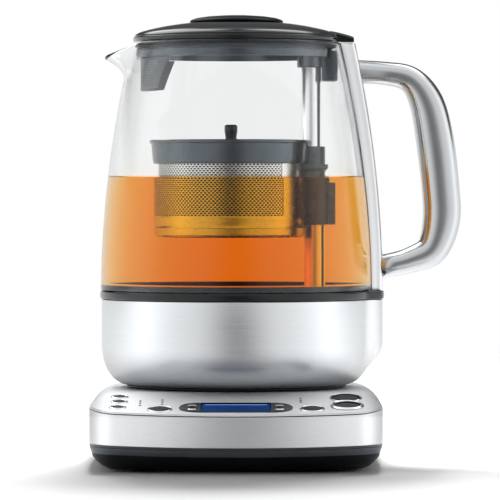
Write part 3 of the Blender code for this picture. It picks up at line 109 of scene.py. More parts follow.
# Camera, light and floor
studio = {
    "lens": 288.0, "distance": 2.4, "across": 0.0081, "height": 0.159, "pitch": 0.788, "clipEnd": 50,
    "lamps": (
        # name, place, aimed at, width, height, watts
        ("left softbox", (-1.5, 0.3, 0.42), (-0.02, 0.0, 0.14), 0.55, 1.3, 4.6),
        ("right softbox", (1.5, 0.3, 0.42), (-0.02, 0.0, 0.14), 0.35, 1.2, 4.4),
        ("overhead softbox", (0.035, 0.86, 1.25), (-0.02, 0.0, 0.1), 0.5, 0.4, 36.0),
    ),
    # the soft light on everything: behind the object, beside it and in front
    "fill": ((-1.0, 1.12), (-0.65, 0.95), (-0.2, 0.12), (1.0, 0.03)),
    # what metal shows: how far the way faces the camera's side, and how bright it is there
    "mirrored": ((-1.0, 0.95), (-0.6, 1.12), (-0.2, 1.4), (0.13, 1.7), (0.43, 1.3), (0.65, 1.1),
                 (0.82, 1.03), (0.91, 0.9), (0.97, 0.56), (1.0, 0.25)),
    # the dark flags above the level of the background, by how far up the way looks
    "flags": ((-1.0, 1.0), (0.11, 1.0), (0.16, 0.1), (0.5, 0.1), (0.64, 0.4), (0.72, 2.8), (0.85, 2.8),
              (0.93, 0.8), (1.0, 0.8)),
    # the same on the camera's side, and where the one gives way to the other
    "frontFlags": ((-1.0, 1.0), (0.15, 1.0), (0.6, 0.9), (1.0, 0.8)), "frontEdge": (-0.4, -0.15),
    # the gap between the two lights overhead, by how far to the side the way goes, and where it starts
    "gap": ((-1.0, 1.0), (-0.14, 1.0), (-0.06, 0.5), (-0.01, 0.12), (0.01, 0.12), (0.06, 0.5), (0.14, 1.0),
            (1.0, 1.0)), "gapRise": (0.55, 0.7),
    # the light overhead comes down lower on the left
    "leftLight": 2.6, "leftAcross": (-0.18, -0.07), "leftRise": (0.4, 0.52),
    # what glass shows: a white sweep behind the object, greyer to the sides and darker in front
    "through": ((-1.0, 1.0), (-0.93, 1.0), (-0.6, 0.42), (-0.2, 0.28), (0.4, 0.25), (1.0, 0.22)),
    "floorSize": 14, "floorTone": 0.92, "floorFade": (0.45, 1.6), "mirrorFade": (0.12, 0.38),
    "manyBounces": 100.0,
}


def inMetal(rays):
    # 1 for what the camera sees by way of a glossy surface, and 0 for the light on a dull one
    return calculated("GREATER_THAN", rays["Glossy Depth"],
                      calculated("MULTIPLY", rays["Diffuse Depth"], studio["manyBounces"]))


def overlaid(shader, strength, share):
    # a plain light of its own strength over a shader, by a share
    light = added(share.id_data, "Emission", {"Strength": strength})
    return added(share.id_data, "MixShader", {0: share, 1: shader, 2: light.outputs[0]}).outputs[0]


def placed(name, data):
    made = bpy.data.objects.new(name, data)
    bpy.context.scene.collection.objects.link(made)
    return made


def makeCamera():
    camera = placed("camera", bpy.data.cameras.new("camera"))
    camera.data.lens, camera.data.clip_end = studio["lens"], studio["clipEnd"]
    camera.location = (jugX + studio["across"], jugY - studio["distance"], studio["height"])
    camera.rotation_euler = (radians(90 - studio["pitch"]), 0, 0)
    bpy.context.scene.camera = camera


def makeSoftboxes():
    for name, place, target, width, height, watts in studio["lamps"]:
        lamp = placed(name, bpy.data.lights.new(name, "AREA"))
        lamp.data.shape = "RECTANGLE"
        lamp.data.size, lamp.data.size_y, lamp.data.energy = width, height, watts
        lamp.visible_glossy = lamp.visible_transmission = False
        lamp.location = place
        lamp.rotation_euler = (Vector(target) - Vector(place)).to_track_quat("-Z", "Y").to_euler()


def makeWorld():
    world = bpy.data.worlds.new("studio world")
    world.use_nodes = True
    bpy.context.scene.world = world
    tree = world.node_tree
    rays = tree.nodes.new("ShaderNodeLightPath").outputs
    way = places(tree, "Generated")[1]
    frontward = ranged(way["Y"], 1.0, -1.0, -1.0, 1.0)
    gap = mixed(ranged(way["Z"], 0.0, 1.0, *studio["gapRise"]), 1.0,
                brightnessRamp(way["X"], studio["gap"]))
    left = calculated("MULTIPLY", ranged(way["Z"], 0.0, 1.0, *studio["leftRise"]),
                      ranged(way["X"], studio["leftLight"], 0.0, *studio["leftAcross"]))
    behind = calculated("MULTIPLY", brightnessRamp(way["Z"], studio["flags"]), gap)
    flags = mixed(ranged(frontward, 0.0, 1.0, *studio["frontEdge"]),
                  calculated("MAXIMUM", behind, left),
                  brightnessRamp(way["Z"], studio["frontFlags"]))
    mirrored = calculated("MULTIPLY", brightnessRamp(frontward, studio["mirrored"]), flags)
    bright = mixed(rays["Is Transmission Ray"], brightnessRamp(frontward, studio["fill"]),
                   brightnessRamp(frontward, studio["through"]))
    # a reflection counts as one also where glass lies in front of the metal
    bright = mixed(inMetal(rays), bright, mirrored)
    bright = mixed(rays["Is Camera Ray"], bright, 1.0)
    fed(tree.nodes["Background"], {"Strength": bright, "Color": (1, 1, 1, 1)})


def makeFloor():
    bpy.ops.mesh.primitive_plane_add(size=studio["floorSize"])
    floor = named("floor")
    tone = studio["floorTone"]
    material, tree, shader = newMaterial("pale floor", {"Base Color": (tone, tone, tone, 1), "Roughness": 0.6,
                                                        "Specular IOR Level": 0.1})
    rays = tree.nodes.new("ShaderNodeLightPath").outputs
    place, way = places(tree)
    reach = added(tree, "VectorMath", {0: place}, operation="LENGTH").outputs["Value"]
    # far from the object the floor is the white of the background
    away = ranged(reach, 0.0, 1.0, *studio["floorFade"], "SMOOTHSTEP")
    lit = calculated("MAXIMUM", rays["Is Camera Ray"], rays["Is Transmission Ray"])
    both = overlaid(shader.outputs[0], 1.0, calculated("MULTIPLY", away, lit))
    # and in metal it shows there what the studio shows
    beyond = ranged(reach, 0.0, 1.0, *studio["mirrorFade"], "SMOOTHSTEP")
    frontward = ranged(calculated("DIVIDE", way["Y"], reach), 1.0, -1.0, -1.0, 1.0)
    both = overlaid(both, brightnessRamp(frontward, studio["mirrored"]),
                    calculated("MULTIPLY", beyond, inMetal(rays)))
    fed(tree.nodes["Material Output"], {"Surface": both})
    floor.data.materials.append(material)


# Finishes
plainStretch = (1, 1, 1)
streakBand = (0.3, 0.7)
# the base's steel is duller on its deck and panel, darker at the sides and back with painted shade, and
# slightly crowned
crowned = {"deckLow": 0.0316, "deckEase": 0.0005, "deckDulling": 0.22, "paintedSideShade": (0.62, 0.074, 0.084),
           "paintedBackShade": (0.72, 0.085, 0.098), "crown": 1.0}
# and the bowl's steel is duller towards its foot, and darker there with painted shade
bowlFootPaintedShade = {"shade": 0.4, "dulling": 0.16, "heights": (0.045, 0.07)}


def newMaterial(name, values):
    material = bpy.data.materials.new(name)
    material.use_nodes = True
    tree = material.node_tree
    return material, tree, fed(tree.nodes["Principled BSDF"], values)


def pattern(tree, stretch, scale, detail=3.0, kind="TexNoise"):
    place = tree.nodes.new("ShaderNodeTexCoord").outputs["Object"]
    mapping = added(tree, "Mapping", {"Vector": place, "Scale": stretch,
                                      "Location": (-jugX * stretch[0], -jugY * stretch[1], 0)})
    return added(tree, kind, {"Vector": mapping.outputs[0], "Scale": scale, "Detail": detail}).outputs[0]


def bumped(shader, height, distance):
    bump = added(height.id_data, "Bump", {"Strength": 1.0, "Distance": distance, "Height": height})
    fed(shader, {"Normal": bump.outputs[0]})


def metal(name, tone, rough, brush, depth=0.00002, tint=0.06, streak=0.05):
    # brush is the stretch of the brushing: small along the lines, large across them
    material, tree, shader = newMaterial(name, {"Metallic": 1.0})
    lines, cloud = pattern(tree, brush, 1.0, 5.0), pattern(tree, plainStretch, 26.0, 2.0)
    dull = tuple(part * (1 - tint) for part in tone)
    fed(shader, {
        "Base Color": blended(ranged(lines, 0.0, 1.0, *streakBand), dull, tone),
        "Roughness": calculated("ADD", ranged(lines, rough - streak, rough + streak, *streakBand),
                                ranged(cloud, -0.02, 0.02))})
    bumped(shader, lines, depth)
    return material


def moulded(name, tone, rough, grain=1400.0, depth=0.00002, shine=0.5, coat=0.0, tint=0.18, index=1.5,
            gleam=(1.0, 1.0, 1.0), coatIndex=1.5):
    material, tree, shader = newMaterial(name, {
        "Specular IOR Level": shine, "IOR": index, "Specular Tint": (*gleam, 1), "Coat Weight": coat,
        "Coat Roughness": 0.05, "Coat IOR": coatIndex})
    fine, cloud = pattern(tree, plainStretch, grain, 2.0), pattern(tree, plainStretch, 34.0, 3.0)
    dark, light = (tuple(part * share for part in tone) for share in (1 - tint, 1 + tint))
    fed(shader, {"Base Color": blended(ranged(cloud, 0.0, 1.0, *streakBand), dark, light),
                 "Roughness": ranged(cloud, rough - 0.04, rough + 0.06, 0.25, 0.75)})
    bumped(shader, fine, depth)
    return material


def absorb(tree, tone, density):
    depth = added(tree, "VolumeAbsorption", {"Color": (*tone, 1), "Density": density})
    fed(tree.nodes["Material Output"], {"Volume": depth.outputs[0]})


def clearGlass():
    material, tree, shader = newMaterial("jug glass", {
        "Transmission Weight": 1.0, "IOR": 1.47, "Base Color": (1.0, 1.0, 1.0, 1),
        "Specular Tint": (0.35, 0.37, 0.4, 1)})
    film = pattern(tree, plainStretch, 60.0, 2.0)
    fed(shader, {"Roughness": ranged(film, 0.0, 0.012, 0.55, 0.9)})
    bumped(shader, pattern(tree, (1, 1, 0.35), 24.0, 1.0), 0.00003)
    # a little absorption, which darkens the edges where the way through the wall is long
    absorb(tree, (0.0, 0.12, 0.14), 27.0)
    return material


def brewedTea():
    material, tree, shader = newMaterial("brewed tea", {
        "Transmission Weight": 1.0, "IOR": 1.05, "Base Color": (1.0, 0.98, 0.94, 1)})
    fed(shader, {"Roughness": ranged(pattern(tree, plainStretch, 90.0, 1.0), 0.0, 0.01)})
    absorb(tree, (0.975, 0.77, 0.0), 52.0)
    return material


def blueDisplay():
    # faint cells under the window, and a glow that varies a little from place to place
    material, tree, shader = newMaterial("blue display", {
        "Roughness": 0.35, "Specular IOR Level": 0.02, "Emission Strength": 0.2})
    cells = pattern(tree, plainStretch, 620.0, 1.0, "TexVoronoi")
    cloud = pattern(tree, plainStretch, 40.0, 1.0)
    fed(shader, {
        "Base Color": blended(ranged(cells, 0.0, 1.0, 0.0, 0.8), (0.004, 0.034, 0.2),
                              (0.003, 0.026, 0.15)),
        "Emission Color": blended(ranged(cloud, 0.0, 1.0, 0.35, 0.65), (0.0, 0.11, 0.56),
                                  (0.01, 0.15, 0.68))})
    return material


def paintedHighlightLine():
    # a glowing strip that paints a highlight line on the display
    material, tree, shader = newMaterial("painted highlight line", {"Roughness": 0.3, "Emission Strength": 0.6})
    glow = blended(pattern(tree, plainStretch, 500.0), (0.25, 0.45, 0.95), (0.4, 0.62, 1.0))
    fed(shader, {"Emission Color": glow})
    return material


def reworked(share, dulling):
    # a finished metal with its tone scaled by a share, and its roughness raised
    tree = share.id_data
    shader = tree.nodes["Principled BSDF"]
    tone, rough = (shader.inputs[socket].links[0].from_socket for socket in ("Base Color", "Roughness"))
    scaled = added(tree, "VectorMath", {0: tone, "Scale": share}, operation="SCALE")
    fed(shader, {"Base Color": scaled.outputs[0], "Roughness": calculated("ADD", rough, dulling)})


def turnedSteel():
    material = metal("turned steel", (0.7, 0.72, 0.735), 0.31, (9, 9, 2600))
    tree = material.node_tree
    # painted shade: the tone darkens towards the bowl's foot
    shade = ranged(places(tree)[1]["Z"], bowlFootPaintedShade["shade"], 1.0, *bowlFootPaintedShade["heights"], "SMOOTHSTEP")
    reworked(shade, ranged(shade, bowlFootPaintedShade["dulling"], 0.0, bowlFootPaintedShade["shade"], 1.0))
    return material


def flatSteel():
    material = metal("flat brushed steel", (0.79, 0.81, 0.825), 0.3, (10, 2400, 2400), 0.000008, 0.05, 0.03)
    tree = material.node_tree
    way = places(tree)[1]
    across = calculated("SUBTRACT", way["X"], jugX)
    aside = calculated("ABSOLUTE", across)
    # painted shade: the tone darkens towards the base's sides and back
    paintedShades = [ranged(value, 1.0, *crowned[name], "SMOOTHSTEP")
              for value, name in ((aside, "paintedSideShade"), (way["Y"], "paintedBackShade"))]
    deck = ranged(way["Z"], 0.0, crowned["deckDulling"], crowned["deckLow"],
                  crowned["deckLow"] + crowned["deckEase"])
    reworked(calculated("MINIMUM", *paintedShades), deck)
    crown = added(tree, "Bump", {"Distance": crowned["crown"],
                                 "Height": calculated("MULTIPLY", across, across)}, invert=True)
    brushed = tree.nodes["Principled BSDF"].inputs["Normal"].links[0].from_node
    fed(brushed, {"Normal": crown.outputs[0]})
    return material


finishes = {
    "turnedSteel": turnedSteel(),
    "flatSteel": flatSteel(),
    "spineSteel": metal("spine steel", (0.74, 0.755, 0.765), 0.32, (900, 900, 14)),
    "postSteel": metal("bright post steel", (0.97, 0.975, 0.98), 0.24, (60, 60, 60), 0.00001, 0.02, 0.02),
    "polishedSteel": metal("polished steel", (0.55, 0.565, 0.58), 0.17, (60, 60, 60), 0.00001, 0.02, 0.02),
    "meshSteel": metal("mesh steel", (0.74, 0.73, 0.7), 0.24, (300, 300, 300), 0.00001),
    "chrome": metal("chrome", (0.86, 0.86, 0.87), 0.07, (80, 80, 80), 0.000005, 0.02, 0.015),
    "platedSteel": metal("plated steel", (0.5, 0.5, 0.51), 0.35, (120, 120, 120), 0.00001),
    "smokedSteel": metal("smoked steel", (0.035, 0.035, 0.038), 0.45, (500, 500, 500)),
    "gloss": moulded("gloss black plastic", (0.006, 0.008, 0.011), 0.16, 900.0, 0.000004, 0.35, 0.12),
    "satin": moulded("satin black plastic", (0.014, 0.018, 0.022), 0.36, 1500.0, 0.00001, 0.25),
    "band": moulded("dark blue-grey plastic", (0.12, 0.145, 0.17), 0.3, 1500.0, 0.00001),
    "slate": moulded("slate plastic", (0.034, 0.045, 0.058), 0.15, 1200.0, 0.000005, 0.75, index=1.75,
                     gleam=(0.8, 0.92, 1.0)),
    "paleScreen": moulded("pale screen", (0.85, 0.86, 0.87), 0.4, 1200.0, 0.00001, tint=0.04),
    "paleSlate": moulded("pale slate plastic", (0.36, 0.39, 0.42), 0.34, 1200.0, 0.00001),
    "greySlate": moulded("grey slate plastic", (0.15, 0.18, 0.21), 0.25, 1200.0, 0.00001, 0.6),
    "darkSlate": moulded("dark slate plastic", (0.02, 0.024, 0.028), 0.3, 1200.0, 0.00001, 0.4),
    "lidGloss": moulded("lid gloss plastic", (0.008, 0.01, 0.013), 0.11, 900.0, 0.000003, 0.25, 0.8,
                        coatIndex=1.35),
    "knob": moulded("knob plastic", (0.004, 0.005, 0.006), 0.35, 900.0, 0.00001, 0.07),
    "key": moulded("textured key plastic", (0.034, 0.038, 0.043), 0.48, 700.0, 0.00005, 0.15),
    "rubber": moulded("black rubber", (0.016, 0.016, 0.017), 0.75, 800.0, 0.00004, 0.3),
    "silicone": moulded("grey silicone", (0.16, 0.17, 0.18), 0.55, 900.0, 0.00002, 0.4),
    "board": moulded("green board", (0.01, 0.1, 0.045), 0.45, 300.0, 0.00003),
    "redLamp": moulded("pale red lamp", (0.62, 0.24, 0.2), 0.25, 900.0, 0.00001),
    "darkLamp": moulded("unlit lamp", (0.05, 0.045, 0.045), 0.25, 900.0, 0.00001),
    "glass": clearGlass(), "tea": brewedTea(), "display": blueDisplay(), "paintedHighlightLine": paintedHighlightLine(),
}


# Modelling helpers
# the arc in an outline's corner: how much of each side it may take, and where it isn't worth making
arcs = {"sideShare": 0.4, "leastReach": 0.00005, "leastTurn": radians(22), "steps": 3}
weldGap = 0.000002


def evenly(low, high, count):
    return [low + (high - low) * i / count for i in range(count + 1)]


def smoothStep(share):
    share = min(max(share, 0.0), 1.0)
    return share * share * (3 - 2 * share)


def onCircle(radius, turn, z, x=0.0):
    # about the jug's axis, or an upright that is x away from it
    return (jugX + x + radius * cos(turn), jugY + radius * sin(turn), z)


def named(name):
    piece = bpy.context.active_object
    piece.name = piece.data.name = name
    return piece


def takeUp(piece):
    bpy.ops.object.select_all(action="DESELECT")
    piece.select_set(True)
    bpy.context.view_layer.objects.active = piece


def settle(piece):
    # puts the object at the origin, unturned and unscaled, with its place in its mesh
    takeUp(piece)
    bpy.ops.object.transform_apply(location=True, rotation=True, scale=True)


def onPanel(piece):
    bpy.context.view_layer.update()
    piece.matrix_world = panelPlane @ piece.matrix_world
    settle(piece)
    return piece


def joined(pieces):
    takeUp(pieces[0])
    for piece in pieces[1:]:
        piece.select_set(True)
    bpy.ops.object.join()
    return pieces[0]


def applied(piece, kind, **values):
    takeUp(piece)
    modifier = piece.modifiers.new(kind.lower(), kind)
    for name, value in values.items():
        setattr(modifier, name, value)
    bpy.ops.object.modifier_apply(modifier=modifier.name)


def edited(piece, *steps):
    # runs operators on the whole mesh
    takeUp(piece)
    bpy.ops.object.mode_set(mode="EDIT")
    bpy.ops.mesh.select_all(action="SELECT")
    for operator, values in steps:
        operator(**values)
    bpy.ops.object.mode_set(mode="OBJECT")


def outwards(piece):
    edited(piece, (bpy.ops.mesh.remove_doubles, {"threshold": weldGap}),
           (bpy.ops.mesh.normals_make_consistent, {"inside": False}))


def roundEdges(piece, width, segments=2, angle=40):
    applied(piece, "BEVEL", width=width, segments=segments, limit_method="ANGLE",
            angle_limit=radians(angle))


def carve(piece, *cutters, operation="DIFFERENCE"):
    for cutter in cutters:
        applied(piece, "BOOLEAN", operation=operation, solver="EXACT", object=cutter)
        bpy.data.objects.remove(cutter, do_unlink=True)


def faceOut(piece, outward):
    # outward: above zero, all faces taken together, where the normals point out
    if sum(outward(face) for face in piece.data.polygons) < 0:
        piece.data.flip_normals()


def fromAxis(face):
    return face.normal.x * (face.center.x - jugX)


def upwards(face):
    return face.normal.z * face.area


def thicken(piece, wall, outward=None, even=False):
    # inwards from a skin whose outside is known, and both ways from any other
    if outward:
        faceOut(piece, outward)
    applied(piece, "SOLIDIFY", thickness=wall, offset=-1.0 if outward else 0.0, use_even_offset=even)


def finish(piece, finishName, body, slot=None, *replaced, angle=35):
    settle(piece)
    bpy.ops.object.shade_smooth_by_angle(angle=radians(angle))
    piece.data.materials.clear()
    piece.data.materials.append(finishes[finishName])
    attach(piece, body)
    if replaced:
        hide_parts(*replaced)


def softCorners(points, radius, ring):
    # each corner of an outline becomes a short arc
    made = []
    count = len(points)
    for i, point in enumerate(points):
        here = Vector(point)
        before, after = Vector(points[i - 1]), Vector(points[(i + 1) % count])
        inWay, outWay = here - before, after - here
        reach = min(radius, inWay.length * arcs["sideShare"], outWay.length * arcs["sideShare"])
        if ((i in (0, count - 1) and not ring) or reach < arcs["leastReach"]
                or inWay.angle(outWay) < arcs["leastTurn"]):
            made.append(here)
            continue
        start, end = here - inWay.normalized() * reach, here + outWay.normalized() * reach
        made += [start * (1 - t) ** 2 + here * 2 * t * (1 - t) + end * t ** 2
                 for t in evenly(0.0, 1.0, arcs["steps"])]
    return made


def lathe(name, profile, steps=96, ring=False, corner=0.0005, centre=(jugX, jugY)):
    # profile: (radius, height) points turned about an upright
    points = softCorners(profile, corner, ring)
    bpy.ops.object.select_all(action="DESELECT")
    bpy.ops.mesh.primitive_plane_add(size=0.001, location=(centre[0] + points[0][0], centre[1], points[0][1]))
    piece = named(name)
    bpy.ops.object.mode_set(mode="EDIT")
    bpy.ops.mesh.merge(type="CENTER")
    for before, after in zip(points, points[1:]):
        step = (after[0] - before[0], 0, after[1] - before[1])
        bpy.ops.mesh.extrude_vertices_move(TRANSFORM_OT_translate={"value": step})
    if ring:
        mesh = bmesh.from_edit_mesh(piece.data)
        for vertex in mesh.verts:
            vertex.select_set(len(vertex.link_edges) == 1)
        bmesh.update_edit_mesh(piece.data)
        bpy.ops.mesh.edge_face_add()
    bpy.ops.mesh.select_all(action="SELECT")
    bpy.ops.mesh.spin(steps=steps, angle=tau, center=(*centre, 0), axis=(0, 0, 1))
    bpy.ops.object.mode_set(mode="OBJECT")
    settle(piece)
    outwards(piece)
    return piece


def softBlock(name, low, high, edge=0.0005, segments=3):
    bpy.ops.mesh.primitive_cube_add(size=1, location=[(a + b) / 2 for a, b in zip(low, high)],
                                    scale=[b - a for a, b in zip(low, high)])
    piece = named(name)
    settle(piece)
    if edge:
        edited(piece, (bpy.ops.mesh.bevel, {"offset": edge, "segments": segments, "affect": "EDGES"}))
    return piece


def cutterRod(radius, low, high, at, sides=48, sloped=True):
    bpy.ops.mesh.primitive_cylinder_add(vertices=sides, radius=radius, depth=high - low,
                                        location=(*at, (low + high) / 2))
    rod = named("cutter")
    if sloped:
        onPanel(rod)
    else:
        settle(rod)
    return rod


def asPiece(name, mesh):
    data = bpy.data.meshes.new(name)
    mesh.to_mesh(data)
    mesh.free()
    return placed(name, data)


def skinned(name, sections, capFirst=True, capLast=True, closed=True, loop=False):
    # a skin over cross-sections of equal point counts, for forms that no primitive gives
    mesh = bmesh.new()
    rings = [[mesh.verts.new(point) for point in section] for section in sections]
    count = len(rings[0])
    for lower, upper in zip(rings, rings[1:] + (rings[:1] if loop else [])):
        for i in range(count if closed else count - 1):
            j = (i + 1) % count
            mesh.faces.new((lower[i], lower[j], upper[j], upper[i]))
    for capped, ring in ((capFirst, rings[0]), (capLast, rings[-1])):
        if capped and closed and not loop:
            mesh.faces.new(ring)
    piece = asPiece(name, mesh)
    outwards(piece)
    return piece


def dropFaces(piece, unwanted):
    mesh = bmesh.new()
    mesh.from_mesh(piece.data)
    gone = [face for face in mesh.faces if unwanted(face.calc_center_median())]
    bmesh.ops.delete(mesh, geom=gone, context="FACES")
    mesh.to_mesh(piece.data)
    mesh.free()
    outwards(piece)


# Power base
base = {
    "width": 0.173, "depth": 0.204, "top": 0.0437, "corner": 0.016, "frontBow": 0.009, "sideBow": 0.003,
    "wall": 0.0012, "sideRoll": 0.0125, "frontRoll": 0.0001, "sideBottom": 0.0146, "sideRise": 0.0017,
    "leastCorner": 0.25, "rollSteps": 8, "cornerSteps": 9, "sideSteps": 14, "connectorHole": 0.0223,
    "cut": 0.004,
    # the seam under the panel's front edge: the way down and in at its corners, and down to its dark strip,
    # which paints the seam's shadow
    "seamDepth": 0.0008, "seamHeight": 0.0006, "seamShares": ((1.25, 0), (1.2, 1), (0.1, 1), (0.05, 0)),
    "shadowStripShares": (1.23, 0.07),
}
tray = {
    # height, drawn in from the steel's edge
    "stages": ((0.0143, 0.0014), (0.0131, 0.0014), (0.0128, 0.0003), (0.0122, 0.0002), (0.0092, 0.0012),
               (0.0088, 0.0018), (0.006, 0.004), (0.0032, 0.0074), (0.0014, 0.011)),
    "wall": 0.0016, "bandStages": 4,
}


def baseOutline(inset):
    width, depth = base["width"] / 2 - inset, base["depth"] / 2 - inset
    radius = max(base["corner"] - inset, base["corner"] * base["leastCorner"])
    points = []
    for quarter in range(4):
        across = 1 if quarter in (0, 3) else -1
        along = 1 if quarter in (0, 1) else -1
        centre = Vector((across * (width - radius), along * (depth - radius)))
        for turn in evenly(pi / 2 * quarter, pi / 2 * (quarter + 1), base["cornerSteps"]):
            points.append(centre + radius * Vector((cos(turn), sin(turn))))
        last, length = points[-1].copy(), (depth if quarter % 2 else width) - radius
        way = Vector((0, -along)) if quarter % 2 else Vector((-across, 0))
        points += [last + way * out for out in evenly(0.0, 2 * length, base["sideSteps"])[1:-1]]
    bowed = []
    for point in points:
        share = (point.x / width) ** 2 * (point.y / depth) ** 2
        bowed.append((point.x - copysign(base["sideBow"], point.x) * share,
                      point.y - copysign(base["frontBow"], point.y) * share))
    return bowed


def sideRise(x):
    # how much higher the steel ends towards the sides
    return base["sideRise"] * min(abs(x) / (base["width"] / 2), 1.0) ** 2


def toPanelSlope(piece):
    # the front part of what follows the base's top comes down with the control panel
    for vertex in piece.data.vertices:
        if vertex.co.z > base["sideBottom"] + base["sideRise"] + 0.00001:
            vertex.co.z -= max(panel["crease"] - vertex.co.y, 0.0) * tan(panelSlope)
        vertex.co.x += jugX


def makeBaseShell():
    wall, top, seam = baseOutline(0.0), base["top"], base["seamHeight"]
    fronts = [smoothStep((4 * base["corner"] - base["depth"] / 2 - y) / (3 * base["corner"]))
              for x, y in wall]
    rolls = [base["sideRoll"] + (base["frontRoll"] - base["sideRoll"]) * share for share in fronts]
    # sections from the bottom edge up, past the seam and over the rolled edge
    sections = [[(x, y, base["sideBottom"] + sideRise(x)) for x, y in wall]]
    for drop, inset in base["seamShares"]:
        points = []
        for index, (x, y) in enumerate(wall):
            depth = inset * base["seamDepth"] * smoothStep(5 * fronts[index] - 4)
            place = baseOutline(depth)[index] if depth else (x, y)
            points.append((*place, top - rolls[index] - drop * seam))
        sections.append(points)
    middle = list(zip(baseOutline(base["seamDepth"] / 2), rolls))
    # a dark strip in the seam's groove, a painted shadow
    strip = skinned("base_seam_shadow_strip", [[(x, y, top - roll - drop * seam) for (x, y), roll in middle]
                                        for drop in base["shadowStripShares"]], capFirst=False, capLast=False)
    toPanelSlope(strip)
    thicken(strip, base["seamDepth"] / 3, fromAxis)
    finish(strip, "band", "base")
    outlines = {}
    for turn in evenly(0.0, pi / 2, base["rollSteps"]):
        points = []
        for index, roll in enumerate(rolls):
            inset = round(roll * (1 - cos(turn)), 7)
            if inset not in outlines:
                outlines[inset] = baseOutline(inset)
            points.append((*outlines[inset][index], top - roll * (1 - sin(turn))))
        sections.append(points)
    shell = skinned("base_shell_skin", sections, capFirst=False)
    edited(shell, (bpy.ops.mesh.bisect, {"plane_co": (0, panel["crease"], 0), "plane_no": (0, 1, 0)}))
    toPanelSlope(shell)
    thicken(shell, base["wall"], upwards)
    cut = base["cut"]
    cutters = [cutterRod(hole + hair, -cut, cut, (across, -down)) for across, down, hole in panelHoles()]
    cutters.append(bezelSolid("cutter", hair, -cut, cut))
    cutters.append(cutterRod(base["connectorHole"], top - cut, top + cut, (jugX, jugY), 96, False))
    carve(shell, *cutters)
    finish(shell, "flatSteel", "base", "brushed_steel", "base_shell", angle=30)


def makeTray():
    split = tray["bandStages"]
    sections = [[(x + jugX, y, height + (sideRise(x) if index <= split else 0.0))
                 for x, y in baseOutline(inset)] for index, (height, inset) in enumerate(tray["stages"])]
    low = skinned("bottom_tray_skin", sections[split:], capFirst=False)
    thicken(low, tray["wall"], lambda face: -upwards(face))
    finish(low, "satin", "base", "black_plastic", "bottom_tray")
    band = skinned("bottom_tray_band", sections[:split + 1], capFirst=False, capLast=False)
    thicken(band, tray["wall"], fromAxis)
    finish(band, "band", "base", "black_plastic")


# Control panel
keys = {
    # across from the middle, down the slope, radius
    "program_button_1": (-0.067505, 0.010203, 0.0049), "program_button_2": (-0.067505, 0.022, 0.0049),
    "program_button_3": (-0.068006, 0.035002, 0.0049), "tea_type_button": (-0.0437, 0.039903, 0.0071),
    "strength_button": (0.043994, 0.038803, 0.0071), "hot_water_button": (0.063699, 0.0132, 0.0085),
    "start_button": (0.0642, 0.032203, 0.008),
    "temperature_up_button": (-0.0252, 0.032798, 0.0027),
    "temperature_down_button": (-0.0252, 0.040198, 0.0027),
    "time_up_button": (0.0252, 0.032798, 0.0027), "time_down_button": (0.0252, 0.040198, 0.0027),
}
smallKey = 0.003  # a button with a smaller radius is a half-moon in the bezel
# how much of each kind of button its darker face takes
keyFaceShares = {"program": 0.78, "tea": 0.9, "strength": 0.9, "hot": 0.9, "start": 0.9}
keyShape = {
    "sunk": -0.0012, "edge": 0.0004, "crest": 0.0007, "shoulder": 0.0003, "flange": 0.0006, "under": -0.0018,
    "foot": -0.0026, "gap": 0.00015, "faceEdge": 0.0002, "moonFoot": -0.003, "moonGap": 0.0006, "cut": 0.01,
    "moonEdge": 0.0002, "flatShare": 0.6, "corner": 0.0003,
    # out from the button, and height, for the rings round the start and the hot water button
    "start": ((hair, 0.0003), (hair, 0.0011), (0.001, 0.0015), (0.0018, 0.0003)),
    "hot": ((hair, 0.0001), (hair, 0.0005), (0.0006, 0.0006), (0.0011, 0.0001)),
}
lamps = {
    "left": ((-0.055308, (0.0205, 0.0256, 0.0307)), (-0.042593, (0.0182, 0.0228, 0.0279))),
    "right": ((0.037403, (0.0146, 0.0191, 0.0234)),),
    "radius": 0.0007, "rise": 0.0004, "foot": -0.0014, "corner": 0.0001,
    # the dome below its top, as shares of the radius and the rise
    "dome": ((0.6, 0.85), (1, 0.3)),
}
display = {
    "place": 0.036498, "width": 0.041, "height": 0.0185, "bezelWidth": 0.065, "bezelHeight": 0.0215,
    "rise": 0.0006, "bezelFoot": -0.0015, "ease": 0.0005, "edge": 0.0006, "holeEdge": 0.0008, "foot": -0.0014,
    "trim": 0.0006, "cut": 0.01, "round": 0.8, "easeShare": 0.3, "endSteps": 14,
    # the glowing line along the top of the display's picture, a painted highlight: in from the sides, down
    # from the top, and heights
    "lineIn": 0.002, "lineDown": (0.0026, 0.0018), "lineRise": (0.00005, 0.00013), "lineEdge": 0.00003,
}


def panelHoles():
    yield from (place for place in keys.values() if place[2] > smallKey)
    for across, places in lamps["left"] + lamps["right"]:
        yield from ((across, down, lamps["radius"]) for down in places)


def bezelSolid(name, grow, low, high, ease=0.0):
    straight, halfHeight = display["width"] / 2, display["bezelHeight"] / 2
    eased = ease * display["easeShare"]
    stages = ((grow, low), (grow, high - ease), (grow - eased, high - eased), (grow - ease, high))
    sections = []
    for out, z in stages if ease else stages[:2]:
        end = display["bezelWidth"] / 2 + out - straight
        right = [(straight + end * sin(t), (halfHeight + out) * cos(t) ** display["round"])
                 for t in evenly(0.0, pi / 2, display["endSteps"])[:-1]]
        half = right + [(straight + end, 0.0)] + [(x, -y) for x, y in reversed(right)]
        sections.append([(x, y - display["place"], z) for x, y in half + [(-x, -y) for x, y in half]])
    return onPanel(skinned(name, sections))


